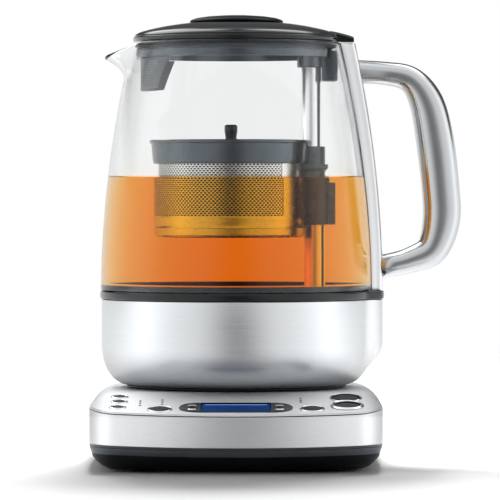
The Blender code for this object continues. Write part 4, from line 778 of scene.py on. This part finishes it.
def makeDisplay():
    bezel = bezelSolid("display_bezel_skin", 0.0, display["bezelFoot"], display["rise"], display["ease"])
    x, cut = display["width"] / 2 - display["trim"], display["cut"]
    low, top = (-display["place"] + side * display["height"] / 2 for side in (-1, 1))
    window = onPanel(softBlock("cutter", (-x - hair, low - hair, -cut), (x + hair, top + hair, cut),
                               display["holeEdge"]))
    holes = [cutterRod(radius + hair, -cut, cut, (across, -down), 32)
             for across, down, radius in keys.values() if radius < smallKey]
    carve(bezel, window, *holes)
    finish(bezel, "darkSlate", "base", "slate_plastic", "display_bezel", angle=30)
    glass = onPanel(softBlock("display_window_lens", (-x, low, display["foot"]), (x, top, 0.0),
                              display["edge"]))
    finish(glass, "display", "base", "blue_display", "display_window")
    (start, end), (under, over), aside = display["lineDown"], display["lineRise"], x - display["lineIn"]
    # the glowing strip is a painted highlight along the top of the display
    line = onPanel(softBlock("display_painted_highlight_line", (-aside, top - start, under), (aside, top - end, over),
                             display["lineEdge"], 1))
    finish(line, "paintedHighlightLine", "base", "blue_display")


def onKey(name, label, profile, sides=48, ring=False):
    # a round piece on the slope, turned about its button's middle
    piece = lathe(label, profile, sides, ring, keyShape["corner"], (0.0, 0.0))
    piece.location = (keys[name][0], -keys[name][1], 0)
    return onPanel(piece)


def makeKeys():
    sunk, edge, crest, foot = keyShape["sunk"], keyShape["edge"], keyShape["crest"], keyShape["foot"]
    for name, (across, down, radius) in keys.items():
        if radius < smallKey:
            continue
        kind = name.split("_")[0]
        inner = keyFaceShares[kind] * radius
        rimFinish, rimSlot = ("key", "black_plastic") if kind in ("hot", "start") else ("chrome", "chrome")
        flange, under = radius + keyShape["flange"], keyShape["under"]
        rim = [(inner, sunk), (inner, edge), ((inner + radius) / 2, crest), (radius, keyShape["shoulder"]),
               (radius, under), (flange, under), (flange, foot), (inner, foot)]
        finish(onKey(name, f"{name}_rim", rim), rimFinish, name, rimSlot, name)
        side = inner - keyShape["gap"]
        face = [(0, edge), (inner * keyShape["flatShare"], edge), (side, keyShape["faceEdge"]),
                (side, sunk), (0, sunk)]
        finish(onKey(name, f"{name}_face", face), "key", name, "black_plastic")
    for name, replaced in (("start_button", ("start_button_ring",)), ("hot_water_button", ())):
        collar = [(keys[name][2] + out, rise) for out, rise in keyShape[name.split("_")[0]]]
        finish(onKey(name, f"{name}_collar", collar, 64, True), "chrome", "base", "chrome", *replaced)
    for name, (across, down, radius) in keys.items():
        if radius > smallKey:
            continue
        moon = [(0, crest), (radius - edge, crest), (radius, edge), (radius, keyShape["moonFoot"]),
                (0, keyShape["moonFoot"])]
        piece = onKey(name, f"{name}_moon", moon, 40)
        # half of the round goes, so that each pair shows as two half-moons
        up, cut = 1 if "_up_" in name else -1, keyShape["cut"]
        chord = -down - up * keyShape["moonGap"]
        carve(piece, onPanel(softBlock("cutter", (across - cut, chord - (cut if up > 0 else 0.0), -2 * cut),
                                       (across + cut, chord + (0.0 if up > 0 else cut), 2 * cut), 0)))
        roundEdges(piece, keyShape["moonEdge"])
        finish(piece, "chrome", name, "chrome", name)


def makeLamps():
    radius, rise, foot = lamps["radius"], lamps["rise"], lamps["foot"]
    dome = [(0, rise), *((radius * out, rise * up) for out, up in lamps["dome"]), (radius, foot), (0, foot)]
    for side, finishName in (("left", "darkLamp"), ("right", "redLamp")):
        domes = []
        for across, places in lamps[side]:
            for down in places:
                piece = lathe(f"indicator_lamps_{side}", dome, 16, corner=lamps["corner"], centre=(0.0, 0.0))
                piece.location = (across, -down, 0)
                domes.append(onPanel(piece))
        finish(joined(domes), finishName, "base", "light_guide", f"indicator_lights_{side}")


# Jug
jug = {
    "gasketTop": 0.1017, "rim": 0.25, "footRadius": 0.0814, "rimRadius": 0.0629, "curve": 1.88,
    "wall": 0.0025, "spoutStart": 0.226, "spoutReach": 0.0164, "spoutDrop": 0.0095, "spoutAngle": 26.0,
    "spoutRound": 1.6, "spoutCurve": 2.2, "lip": 0.0008, "rows": 26, "spoutRows": 14, "steps": 176,
}
bowl = {
    "foot": 0.066, "radius": 0.0808, "bottom": 0.0459, "top": 0.0968, "roundHeight": 0.024, "wall": 0.001,
    "opening": 0.06, "brim": 0.07, "straight": 0.02, "bumpReach": 0.0068, "bumpStart": 0.053,
    "bumpFull": 0.07, "flat": 8.0, "fade": 12.0, "bumpInside": 0.0665, "bandInside": 0.0795,
    "corner": 0.0006, "coverCorner": 0.0004, "roundSteps": 16, "steps": 256,
    # the dark band over the bowl: its radii from the inside of its foot to its top edge, and then
    # radius and height
    "bandRadii": (0.0767, 0.0816, 0.0818, 0.0816),
    "band": ((0.0787, 0.1017), (0.0785, 0.1052), (0.078, 0.1055), (0.0767, 0.105)),
    "cover": ((0.0206, 0.0461), (0.029, 0.0461), (0.0305, 0.044), (0.0645, 0.044), (0.066, 0.0448),
              (0.066, 0.0456), (0.032, 0.0456), (0.0305, 0.0476), (0.0206, 0.0476)),
}
brew = {"level": 0.169, "bottom": 0.0988, "lipTop": 0.1056, "lipRadius": 0.0764, "meniscus": 0.0012,
        "inGlass": 0.0002, "heights": (0.115, 0.125, 0.135, 0.145, 0.155, 0.163),
        # how far in from the glass the surface rises, and how much
        "surface": ((0.001, 0.0003), (0.0024, 0.0))}
plate = ((0, 0.0986), (0.028, 0.0986), (0.029, 0.0983), (0.03, 0.0986), (0.056, 0.0986), (0.0575, 0.0982),
         (0.059, 0.0986), (0.0757, 0.0986), (0.0763, 0.0981), (0.0763, 0.0971), (0, 0.0971))


def glassRadius(z):
    share = max((z - jug["gasketTop"]) / (jug["rim"] - jug["gasketTop"]), 0.0)
    return jug["footRadius"] - (jug["footRadius"] - jug["rimRadius"]) * share ** jug["curve"]


def swell(piece, least):
    # pushes the points outside a radius out over the bump under the spine
    for vertex in piece.data.vertices:
        x, y, z = vertex.co.x - jugX, vertex.co.y - jugY, vertex.co.z
        radius = hypot(x, y)
        if radius > least:
            turn = abs(degrees(atan2(y, x)))
            around = 1 - smoothStep((turn - bowl["flat"]) / bowl["fade"])
            up = smoothStep((z - bowl["bumpStart"]) / (bowl["bumpFull"] - bowl["bumpStart"]))
            scale = 1 + bowl["bumpReach"] * around * up / radius
            vertex.co.x, vertex.co.y = jugX + x * scale, jugY + y * scale


def makeBowl():
    wall, out, bottom, top, foot = bowl["wall"], bowl["radius"], bowl["bottom"], bowl["top"], bowl["foot"]
    outer = [(foot + (out - foot) * sin(t), bottom + bowl["roundHeight"] * (1 - cos(t)))
             for t in evenly(0.0, pi / 2, bowl["roundSteps"])]
    inner = [(radius - wall, max(height, bottom + wall)) for radius, height in reversed(outer[2:])]
    opening, brim = bowl["opening"], bowl["brim"]
    profile = [(opening, bottom), *outer, (out, top - bowl["straight"]), (out, top), (brim, top),
               (brim, top - wall), (out - wall, top - wall), *inner, (opening, bottom + wall)]
    piece = lathe("jug_bowl_skin", profile, bowl["steps"], True, bowl["corner"])
    swell(piece, bowl["bumpInside"])
    finish(piece, "turnedSteel", "jug", "brushed_steel", "jug_bowl")

    low, high = top + hair, jug["gasketTop"]
    band = [*zip(bowl["bandRadii"], (low, low, (low + high) / 2, high)), *bowl["band"]]
    piece = lathe("jug_gasket_band", band, bowl["steps"], True, bowl["corner"])
    swell(piece, bowl["bandInside"])
    finish(piece, "gloss", "jug", "slate_plastic", "jug_gasket")

    piece = lathe("jug_bottom_cover_skin", bowl["cover"], 160, True, bowl["coverCorner"])
    finish(piece, "satin", "jug", "black_plastic", "jug_bottom_cover")


def makeGlass():
    start, top = jug["spoutStart"], jug["rim"]
    heights = evenly(jug["gasketTop"] + hair, start, jug["rows"])[:-1] + evenly(start, top, jug["spoutRows"])
    piece = lathe("glass_jug_wall", [(glassRadius(z), z) for z in heights], jug["steps"])
    for vertex in piece.data.vertices:
        x, y, z = vertex.co.x - jugX, vertex.co.y - jugY, vertex.co.z
        turn = abs(degrees(atan2(y, -x)))
        around = cos(pi / 2 * min(turn / jug["spoutAngle"], 1.0)) ** jug["spoutRound"]
        rise = max((z - start) / (top - start), 0.0)
        scale = 1 + jug["spoutReach"] * around * rise ** jug["spoutCurve"] / hypot(x, y)
        vertex.co = (jugX + x * scale, jugY + y * scale, z - jug["spoutDrop"] * around * rise)
    thicken(piece, jug["wall"], fromAxis, even=True)
    roundEdges(piece, jug["lip"], 3, 60)
    finish(piece, "glass", "jug", "glass", "glass_jug", angle=50)


def makeTea():
    level, bottom, lip = brew["level"], brew["bottom"], brew["lipRadius"]
    walls = [(glassRadius(z) - jug["wall"] + brew["inGlass"], z)
             for z in (brew["lipTop"], *brew["heights"], level + brew["meniscus"])]
    top = walls[-1][0]
    profile = [(0, bottom), (lip, bottom), (lip + brew["inGlass"], brew["lipTop"]), *walls,
               *((top - inwards, level + rise) for inwards, rise in brew["surface"]), (0, level)]
    finish(lathe("brewed_tea", profile, jug["steps"], corner=0.0), "tea", "jug", angle=30)


def makePlate():
    piece = lathe("heating_plate_disc", plate, 128, corner=0.0003)
    finish(piece, "polishedSteel", "jug", "polished_steel", "heating_plate")


# Spine and handle
spine = {
    "top": 0.2497, "halfWidth": 0.012, "proudLow": 0.006, "proudHigh": 0.008, "wall": 0.0012, "round": 0.003,
    "draft": 0.0018, "edge": 0.0003, "liner": 0.0008, "linerHalfWidth": 0.0096, "rows": 34,
}
handle = {
    "low": 0.1092, "high": 0.2388, "reach": 0.0461, "thickness": 0.0228, "width": 0.023, "steps": 7,
    "sides": 36, "easeSteps": 9, "endShare": 0.76, "squareness": 0.8, "trim": (0.094, 0.258),
    "trimGrow": 0.0001, "trimSteps": 40,
    # across from the spine, up the handle, thickness, as shares
    "shares": ((-0.42, 0.955, 0.62), (0.02, 0.947, 0.61), (0.36, 0.918, 0.7), (0.57, 0.815, 0.9),
               (0.68, 0.65, 1.0), (0.755, 0.43, 1.0), (0.77, 0.27, 0.99), (0.65, 0.135, 0.84),
               (0.38, 0.085, 0.68), (0.1, 0.06, 0.62), (-0.1, 0.05, 0.62)),
}


def spineOuter(z):
    share = min(max((z - jug["gasketTop"]) / (spine["top"] - jug["gasketTop"]), 0.0), 1.0)
    return glassRadius(z) + spine["proudLow"] + (spine["proudHigh"] - spine["proudLow"]) * share


def spineSection(z, grow=0.0, closed=False):
    # across the spine at a height: open towards the glass, or closed to cut the handle to it
    outer, edge, radius = spineOuter(z) + grow, spine["halfWidth"] + grow, spine["round"]
    face, skin = edge - spine["draft"], glassRadius(z)
    foot = 0.0 if closed else sqrt((skin + hair) ** 2 - edge ** 2)
    half = [(foot, edge), (skin, edge) if closed else ((foot + outer - radius) / 2, (edge + face) / 2)]
    half += [(outer - radius * (1 - sin(turn)), face - radius * (1 - cos(turn)))
             for turn in evenly(0.0, pi / 2, 7)]
    return [(jugX + x, jugY - y, z) for x, y in half] + [(jugX + x, jugY + y, z) for x, y in reversed(half)]


def makeSpine():
    heights = evenly(jug["gasketTop"] + hair, spine["top"], spine["rows"])
    cover = skinned("spine_cover_skin", [spineSection(z) for z in heights], closed=False)
    thicken(cover, spine["wall"], lambda face: face.normal.x * face.area, even=True)
    roundEdges(cover, spine["edge"], 2, 50)
    finish(cover, "spineSteel", "jug", "brushed_steel", "spine_cover")

    sections = []
    for z in heights:
        radius = glassRadius(z) + hair + spine["liner"]
        half = asin(spine["linerHalfWidth"] / radius)
        sections.append([onCircle(radius, turn, z) for turn in evenly(-half, half, 8)])
    liner = skinned("spine_liner_skin", sections, closed=False)
    thicken(liner, spine["liner"], lambda face: face.normal.x)
    finish(liner, "slate", "jug", "slate_plastic", "spine_liner")


def handleLine():
    # a smooth curve through the places that the shares give: out from the axis, height, thickness
    start = spineOuter(handle["low"])
    knots = [Vector((start + handle["reach"] * across, handle["low"] + (handle["high"] - handle["low"]) * up,
                     handle["thickness"] * thick)) for across, up, thick in handle["shares"]]
    ends = [2 * knots[0] - knots[1]] + knots + [2 * knots[-1] - knots[-2]]
    line = []
    for before, here, after, later in zip(ends, ends[1:], ends[2:], ends[3:]):
        for t in evenly(0.0, 1.0, handle["steps"])[:-1]:
            line.append(0.5 * (2 * here + (after - before) * t
                               + (2 * before - 5 * here + 4 * after - later) * t ** 2
                               + (3 * here - before - 3 * after + later) * t ** 3))
    return line + [knots[-1]]


def makeHandle():
    line = handleLine()
    last = len(line) - 1
    sections = []
    for index, station in enumerate(line):
        before, after = line[max(index - 1, 0)], line[min(index + 1, last)]
        along = Vector((after.x - before.x, 0, after.y - before.y)).normalized()
        outward = Vector((along.z, 0, -along.x))
        centre = Vector((jugX + station.x, jugY, station.y))
        # narrower at the ends, where it grows out of the spine
        ease = smoothStep(min(index, last - index) / handle["easeSteps"])
        halfWidth = handle["width"] / 2 * (handle["endShare"] + (1 - handle["endShare"]) * ease)
        section = []
        for i in range(handle["sides"]):
            turn = tau * (i + 0.5) / handle["sides"]
            across, wide = (copysign(abs(part) ** handle["squareness"], part)
                            for part in (cos(turn), sin(turn)))
            section.append(centre + outward * across * station.z / 2 + Vector((0, wide * halfWidth, 0)))
        sections.append(section)
    piece = skinned("handle_grip", sections)
    carve(piece, skinned("cutter", [spineSection(z, handle["trimGrow"], True)
                                    for z in evenly(*handle["trim"], handle["trimSteps"])]))
    finish(piece, "polishedSteel", "jug", "polished_steel", "handle", angle=50)


# Lid
lid = {
    "low": 0.2503, "tailHalf": 0.0115, "tailEase": 0.0012, "corner": 0.0004, "angle": 32,
    # out from the jug's axis, and the top there: the tail over the spine, which slopes down from the dome
    "tail": ((0.056, 0.257), (0.061, 0.256), (0.066, 0.2547), (0.0697, 0.2535), (0.0702, 0.2526)),
    "dome": ((0, 0.2621), (0.028, 0.2621), (0.0375, 0.261), (0.0464, 0.2594), (0.054, 0.2576),
             (0.0582, 0.2563), (0.06, 0.2554), (0.061, 0.2545), (0.0614, 0.254), (0.061, 0.2538),
             (0.061, 0.2535), (0.0619, 0.2533), (0.0622, 0.2528), (0.0622, 0.2512), (0.0616, 0.2503),
             (0.0578, 0.2503), (0.0578, 0.2528), (0.057, 0.254), (0.0464, 0.2574), (0.03, 0.26), (0, 0.26)),
    "knob": ((0, 0.2666), (0.01, 0.2664), (0.018, 0.2658), (0.024, 0.2649), (0.0272, 0.2638),
             (0.028, 0.263), (0.028, 0.2624), (0, 0.2624)),
}
collar = {
    "radius": 0.0575, "wall": 0.0022, "low": 0.2408, "top": 0.2529, "web": 0.0014, "webFoot": 0.25,
    "webEase": 0.0015, "groove": 0.0004, "grooveTop": (0.249, 0.2488), "grooveLow": (0.2455, 0.2453),
    # the two blocks over the spine side: in and out from the axis, bottom and top; and the cup on the post
    "blocks": ((0.051, 0.0555, 0.227, 0.2522), (0.053, 0.0602, 0.227, 0.2452)), "blockHalf": 0.009,
    "blockEdge": 0.0006, "cupCorner": 0.0003, "sealCorner": 0.0002,
    "cup": ((0, 0.235), (0.008, 0.2352), (0.0084, 0.2358), (0.0084, 0.2522), (0, 0.2522)),
    "bore": 0.0063, "boreHeights": (0.225, 0.2404),
    # out from the collar, and height
    "seal": ((0.0, 0.2486), (0.0011, 0.248), (0.0022, 0.2474), (0.0011, 0.2468), (0.0, 0.2462)),
}
guard = {
    "bottom": 0.2212, "wall": 0.0018, "low": 37.0, "high": 47.0, "sideRise": 0.0016, "steps": (12, 40),
    "edge": 0.0004,
    # holes: radius, first row, apart up the guard and round it, rows and columns, and their middle's turn
    "hole": 0.00065, "first": 0.0048, "up": 0.0015, "round": 2.1, "rows": 9, "columns": 5,
    "turnLow": 20.0, "turnHigh": 31.0, "drill": (0.0566, 0.008),
    # the pale screen in the holes: out from the axis, thickness, and smaller by
    "screen": (0.05725, 0.0003), "screenGap": 0.00004,
}


def makeLid():
    piece = lathe("lid_cover_dome", lid["dome"], jug["steps"], corner=lid["corner"])
    low, half, ease = lid["low"], lid["tailHalf"], lid["tailEase"]
    sections = [[(jugX + x, jugY + y, z) for y, z in (
        (-half, low), (-half, top - ease), (ease - half, top), (half - ease, top), (half, top - ease),
        (half, low))] for x, top in lid["tail"]]
    carve(piece, skinned("cutter", sections), operation="UNION")
    finish(piece, "lidGloss", "lid", "black_plastic", "lid_cover", angle=lid["angle"])
    piece = lathe("lid_knob_disc", lid["knob"], 128)
    finish(piece, "knob", "lid", "slate_plastic", "lid_knob", angle=lid["angle"])


def makeCollar():
    out, top, low, under = collar["radius"], collar["top"], collar["low"], collar["top"] - collar["web"]
    inner, groove = out - collar["wall"], out - collar["groove"]
    (upper, upperIn), (lowerIn, lower) = collar["grooveTop"], collar["grooveLow"]
    profile = [(0, top), (out, top), (out, upper), (groove, upperIn), (groove, lowerIn), (out, lower),
               (out, low), (inner, low), (inner, collar["webFoot"]), (inner - collar["webEase"], under),
               (0, under)]
    piece = lathe("lid_collar_skirt", profile, 160)
    half = collar["blockHalf"]
    additions = [softBlock("lid block", (jugX + near, jugY - half, bottom), (jugX + far, jugY + half, high),
                           collar["blockEdge"], 2) for near, far, bottom, high in collar["blocks"]]
    additions.append(lathe("post cup", collar["cup"], 48, corner=collar["cupCorner"], centre=postPlace))
    carve(piece, *additions, operation="UNION")
    carve(piece, cutterRod(collar["bore"], *collar["boreHeights"], postPlace, sloped=False))
    finish(piece, "slate", "lid", "slate_plastic", "lid_collar", angle=lid["angle"])
    seal = [(out + hair + proud, z) for proud, z in collar["seal"]]
    piece = lathe("lid_seal_ring", seal, 128, True, collar["sealCorner"])
    finish(piece, "silicone", "lid", "silicone", "lid_seal")


def makeGuard():
    # the curved guard behind the spout, with rows of holes that lean with its ends
    rows, columns = guard["steps"]
    sections = []
    for share in evenly(0.0, 1.0, rows):
        reach = guard["low"] + (guard["high"] - guard["low"]) * share
        height = guard["bottom"] + (collar["low"] - hair - guard["bottom"]) * share
        sections.append([onCircle(collar["radius"], radians(180 + reach * side),
                                  height + guard["sideRise"] * side ** 2 * (1 - share))
                         for side in evenly(-1.0, 1.0, columns)])
    piece = skinned("spout_guard", sections, closed=False)
    thicken(piece, guard["wall"], lambda face: -face.normal.x)
    roundEdges(piece, guard["edge"], 2, 50)
    carve(piece, drillings(guard["hole"], *guard["drill"]))
    finish(piece, "paleSlate", "lid", "slate_plastic", "spout_filter")
    screen = drillings(guard["hole"] - guard["screenGap"], *guard["screen"])
    finish(screen, "paleScreen", "lid", "slate_plastic")


def drillings(hole, out, depth):
    # short rods that point away from the jug's axis, for the rows of holes in the guard
    rows, columns = guard["rows"], guard["columns"]
    rods = []
    for row, side, column in product(range(rows), (-1, 1), range(columns)):
        middle = guard["turnLow"] + (guard["turnHigh"] - guard["turnLow"]) * row / (rows - 1)
        shift = (column - (columns - 1) / 2 + (row % 2) / 2) * guard["round"]
        turn = radians(180 + side * (middle + shift))
        place = onCircle(out, turn, guard["bottom"] + guard["first"] + row * guard["up"])
        bpy.ops.mesh.primitive_cylinder_add(vertices=8, radius=hole, depth=depth, location=place,
                                            rotation=(0, pi / 2, turn))
        rods.append(named("spout_filter_screen"))
    cutter = joined(rods)
    settle(cutter)
    return cutter


# Post, cradle and basket
post = {"x": 0.0447, "low": 0.0989, "top": 0.2401, "radius": 0.006, "chamfer": (0.001, 0.0012),
        # radius, up from the lower end
        "foot": ((0.006, 0.0036), (0.0072, 0.003), (0.0098, 0.0026), (0.01, 0.0018), (0.01, 0), (0, 0))}
postPlace = (jugX + post["x"], jugY)
cradle = {
    "sleeve": ((0.0085, 0.1876), (0.0085, 0.1773), (0.0104, 0.1773), (0.0104, 0.1751), (0.0085, 0.1729),
               (0.0085, 0.1414), (0.0081, 0.141), (0.0063, 0.141), (0.0063, 0.188), (0.0081, 0.188)),
    # the housing of the magnet: from the post, out from the jug's axis, half its width, and heights
    "housing": (0.0074, 0.0565, 0.006, 0.141, 0.166), "edge": 0.0008,
}
basket = {
    "x": -0.0033, "lip": 0.049, "ringTop": 0.1917, "ringBottom": 0.1776, "wall": 0.002, "mesh": 0.044,
    "band": 0.1464, "foot": 0.1335, "footRadius": 0.04, "sheet": 0.0006, "bite": 0.0088, "around": 110,
    "inward": 18,
    # the ring's outside under its lip: in from the lip, more bite, down from the top
    "ring": ((0.0006, 0, 0), (0.0001, 0, 0.0004), (0, 0, 0.001), (0.0002, 0, 0.0017), (0.001, 0, 0.0021),
             (0.0013, 0, 0.003), (0.002, 0, 0.0117), (0.0024, 0, 0.0137), (0.0028, 0.0002, 0.0141)),
    # the cup: in from the wall's radius, height
    "cup": ((0, 0.189), (0, 0.1776), (0, 0.17), (0, 0.16), (0, 0.153), (0, 0.1464), (-0.0002, 0.1452),
            (-0.0002, 0.1444), (0.0001, 0.1436), (0.0004, 0.1398), (0.0001, 0.1392), (0.0004, 0.1386),
            (0.0005, 0.1352), (0.001, 0.1344), (0.0022, 0.1338), (0.0052, 0.1335)),
}
cupBite = basket["bite"] + basket["wall"] + hair
holes = {
    # the wall's holes: apart, row height, half a hole each way, and the window they fill
    "pitch": 0.0024, "row": 0.0012, "hole": (0.00082, 0.00054), "window": 46.0, "low": 0.1462, "top": 0.1788,
    "inset": 0.00005,
    # the floor's
    "floorPitch": 0.0022, "floorHole": (0.0007, 0.0007), "floorWidth": 0.086, "floorSheet": 0.0004,
    # the finer screen behind the wall's holes: in from them, thickness, heights
    "screenIn": 0.001, "screen": 0.0003, "screenHeights": (0.1454, 0.162, 0.1785),
}
basketLid = {
    "low": 0.1893, "top": 0.1908, "edge": 0.0004,
    "grip": ((0, 0.2011), (0.0031, 0.201), (0.0039, 0.2001), (0.0039, 0.1971), (0.0034, 0.1941),
             (0.0034, 0.1917), (0.0037, 0.1911), (0, 0.1911)),
}


def basketOutline(radius, bite, z):
    # round the basket's middle, with a bite out of it round the post
    apart = post["x"] - basket["x"]
    meetX = (apart ** 2 + radius ** 2 - bite ** 2) / (2 * apart)
    meetY = sqrt(max(radius ** 2 - meetX ** 2, 0.0))
    start, biteStart = atan2(meetY, meetX), atan2(-meetY, meetX - apart)
    points = [onCircle(radius, turn, z, basket["x"]) for turn in evenly(start, tau - start, basket["around"])]
    return points + [onCircle(bite, turn, z, post["x"])
                     for turn in evenly(biteStart, -tau - biteStart, basket["inward"])[1:-1]]


def makePost():
    low, top, radius = post["low"], post["top"], post["radius"]
    inwards, down = post["chamfer"]
    profile = [(0, top), (radius - inwards, top), (radius, top - down)]
    profile += [(out, low + up) for out, up in post["foot"]]
    piece = lathe("basket_post_rod", profile, 64, corner=0.0004, centre=postPlace)
    finish(piece, "postSteel", "jug", "polished_steel", "basket_post")


def makeCradle():
    piece = lathe("basket_cradle_sleeve", cradle["sleeve"], 64, True, 0.0003, postPlace)
    near, far, half, low, high = cradle["housing"]
    housing = softBlock("housing", (postPlace[0] + near, jugY - half, low), (jugX + far, jugY + half, high),
                        cradle["edge"])
    carve(piece, housing, operation="UNION")
    finish(piece, "greySlate", "cradle", "slate_plastic", "basket_cradle", "cradle_magnet")


def makeRing():
    bite, wall, inner = basket["bite"], basket["wall"], basket["mesh"] + hair
    top, low, lip = basket["ringTop"], basket["ringBottom"], basket["lip"]
    stages = [(lip - inwards, bite + more, top - down) for inwards, more, down in basket["ring"]]
    stages += [(inner, bite + wall, low), (inner, bite + wall, top - hair),
               (inner + hair, bite + wall - hair, top)]
    piece = skinned("basket_ring", [basketOutline(*stage) for stage in stages], loop=True)
    finish(piece, "slate", "basket", "slate_plastic", "basket_rim", angle=32)


def perforated(name, columns, rowPairs, pitch, high, reach):
    # one pair of bricks with a six-sided hole each, repeated with arrays; reach is half the hole each way
    mesh = bmesh.new()
    for row in range(2):
        x, y = (row + 1) * pitch / 2, (row + 0.5) * high
        outer, inner = [], []
        for across, up in ((-1, -1), (0, -1), (1, -1), (1, 1), (0, 1), (-1, 1)):
            outer.append(mesh.verts.new((x + across * pitch / 2, y + up * high / 2, 0)))
            inner.append(mesh.verts.new((x + across * reach[0], y + up * reach[1] / (1 + abs(across)), 0)))
        for i in range(6):
            mesh.faces.new((outer[i - 1], outer[i], inner[i], inner[i - 1]))
    piece = asPiece(name, mesh)
    for count, offset in ((columns, (pitch, 0, 0)), (rowPairs, (0, 2 * high, 0))):
        applied(piece, "ARRAY", count=count, use_relative_offset=False, use_constant_offset=True,
                constant_offset_displace=offset)
    outwards(piece)
    return piece


def makeCup():
    # the cup's plain bands and floor ring, with the window for the perforated wall left out
    cup = skinned("basket_cup", [basketOutline(basket["mesh"] - inwards, cupBite, z)
                                 for inwards, z in basket["cup"]], capFirst=False, capLast=False)

    def inWindow(middle):
        x, y = middle.x - jugX - basket["x"], middle.y - jugY
        turn = abs(degrees(atan2(y, x)))
        return (basket["band"] < middle.z < basket["ringBottom"] and turn > holes["window"]
                and hypot(x, y) > basket["footRadius"])

    dropFaces(cup, inWindow)
    thicken(cup, basket["sheet"], fromAxis)
    finish(cup, "meshSteel", "basket", "mesh_steel", "basket_mesh")


def makeCupWall():
    radius, pitch, high, low = basket["mesh"], holes["pitch"], holes["row"], basket["band"]
    arc = radians(360 - 2 * holes["window"])
    wall = perforated("basket_perforated_wall", int(radius * arc / pitch) + 1,
                      int((holes["top"] - low) / high / 2), pitch, high, holes["hole"])
    start = radians(holes["window"]) - pitch / 2 / radius
    for vertex in wall.data.vertices:
        vertex.co = onCircle(radius - holes["inset"], start + vertex.co.x / radius,
                             holes["low"] + vertex.co.y, basket["x"])
    wall.data.update()
    faceOut(wall, fromAxis)
    finish(wall, "meshSteel", "basket", "mesh_steel", angle=30)

    # the finer and darker screen behind the holes
    screen = skinned("basket_inner_screen", [[onCircle(radius - holes["screenIn"], turn, z, basket["x"])
                                              for turn in evenly(start, tau - start, 80)]
                                             for z in holes["screenHeights"]], closed=False)
    thicken(screen, holes["screen"])
    finish(screen, "smokedSteel", "basket", "mesh_steel", angle=30)


def makeCupFloor():
    # a sheet with wider holes, trimmed to the cup's foot
    pitch, width, thick = holes["floorPitch"], holes["floorWidth"], holes["floorSheet"]
    high = pitch * sqrt(3) / 2
    sheet = perforated("basket_perforated_floor", int(width / pitch), int(width / high / 2), pitch, high,
                       holes["floorHole"])
    for vertex in sheet.data.vertices:
        vertex.co = (jugX + basket["x"] + vertex.co.x - width / 2, jugY + vertex.co.y - width / 2,
                     basket["foot"] + thick)

    def beyondFoot(middle):
        x, y = middle.x - jugX, middle.y - jugY
        return (hypot(x - basket["x"], y) > basket["footRadius"] - thick
                or hypot(x - post["x"], y) < cupBite + thick)

    dropFaces(sheet, beyondFoot)
    thicken(sheet, thick)
    finish(sheet, "meshSteel", "basket", "mesh_steel", angle=30)


def makeBasketLid():
    bite, radius = cupBite + hair, basket["mesh"] - hair
    low, top, edge = basketLid["low"], basketLid["top"], basketLid["edge"]
    stages = ((radius, bite, low), (radius, bite, top - edge), (radius - edge, bite + edge, top))
    piece = skinned("basket_lid_disc", [basketOutline(*stage) for stage in stages])
    finish(piece, "slate", "basket_lid", "slate_plastic", "basket_lid", angle=32)
    piece = lathe("basket_lid_grip", basketLid["grip"], 48, corner=0.0003, centre=(jugX + basket["x"], jugY))
    finish(piece, "gloss", "basket_lid", "black_plastic", "basket_lid_knob")


# What stays as the CAD has it, and what only gets softer edges
kept = {
    "rubber": ("foot_front_left", "foot_front_right", "foot_rear_left", "foot_rear_right", "lift_belt"),
    "platedSteel": ("base_screw_left", "base_screw_right", "display_module", "temperature_sensor",
                    "lift_motor", "handle_screw_upper", "handle_screw_lower", "drive_carriage"),
    "satin": ("inner_frame",), "board": ("circuit_board",), "smokedSteel": ("heating_element",),
    "slate": ("drive_pulley", "idler_pulley"),
}
softened = {"lower_connector": ("satin", "base"), "upper_connector": ("satin", "jug_socket"),
            "cord_gland": ("rubber", "base")}
softEdge = 0.0003


def dressKept():
    for finishName, nodes in kept.items():
        for node in nodes:
            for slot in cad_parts[node].material_slots:
                slot.material = finishes[finishName]
    for node, (finishName, body) in softened.items():
        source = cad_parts[node]
        piece = placed(f"{node}_trim", source.data.copy())
        piece.matrix_world = source.matrix_world
        outwards(piece)
        applied(piece, "DECIMATE", decimate_type="DISSOLVE", angle_limit=radians(1))
        roundEdges(piece, softEdge, 2, 35)
        finish(piece, finishName, body, "black_plastic", node)


makeCamera()
makeSoftboxes()
makeWorld()
makeFloor()
bpy.context.scene.view_settings.view_transform = "Standard"
print("studio ready")
for make in (makeBaseShell, makeTray, makeDisplay, makeKeys, makeLamps):
    make()
print("base ready")
for make in (makeBowl, makeGlass, makeTea, makePlate, makeSpine, makeHandle):
    make()
print("jug ready")
for make in (makeLid, makeCollar, makeGuard):
    make()
print("lid ready")
for make in (makePost, makeCradle, makeRing, makeCup, makeCupWall, makeCupFloor, makeBasketLid):
    make()
print("basket ready")
dressKept()
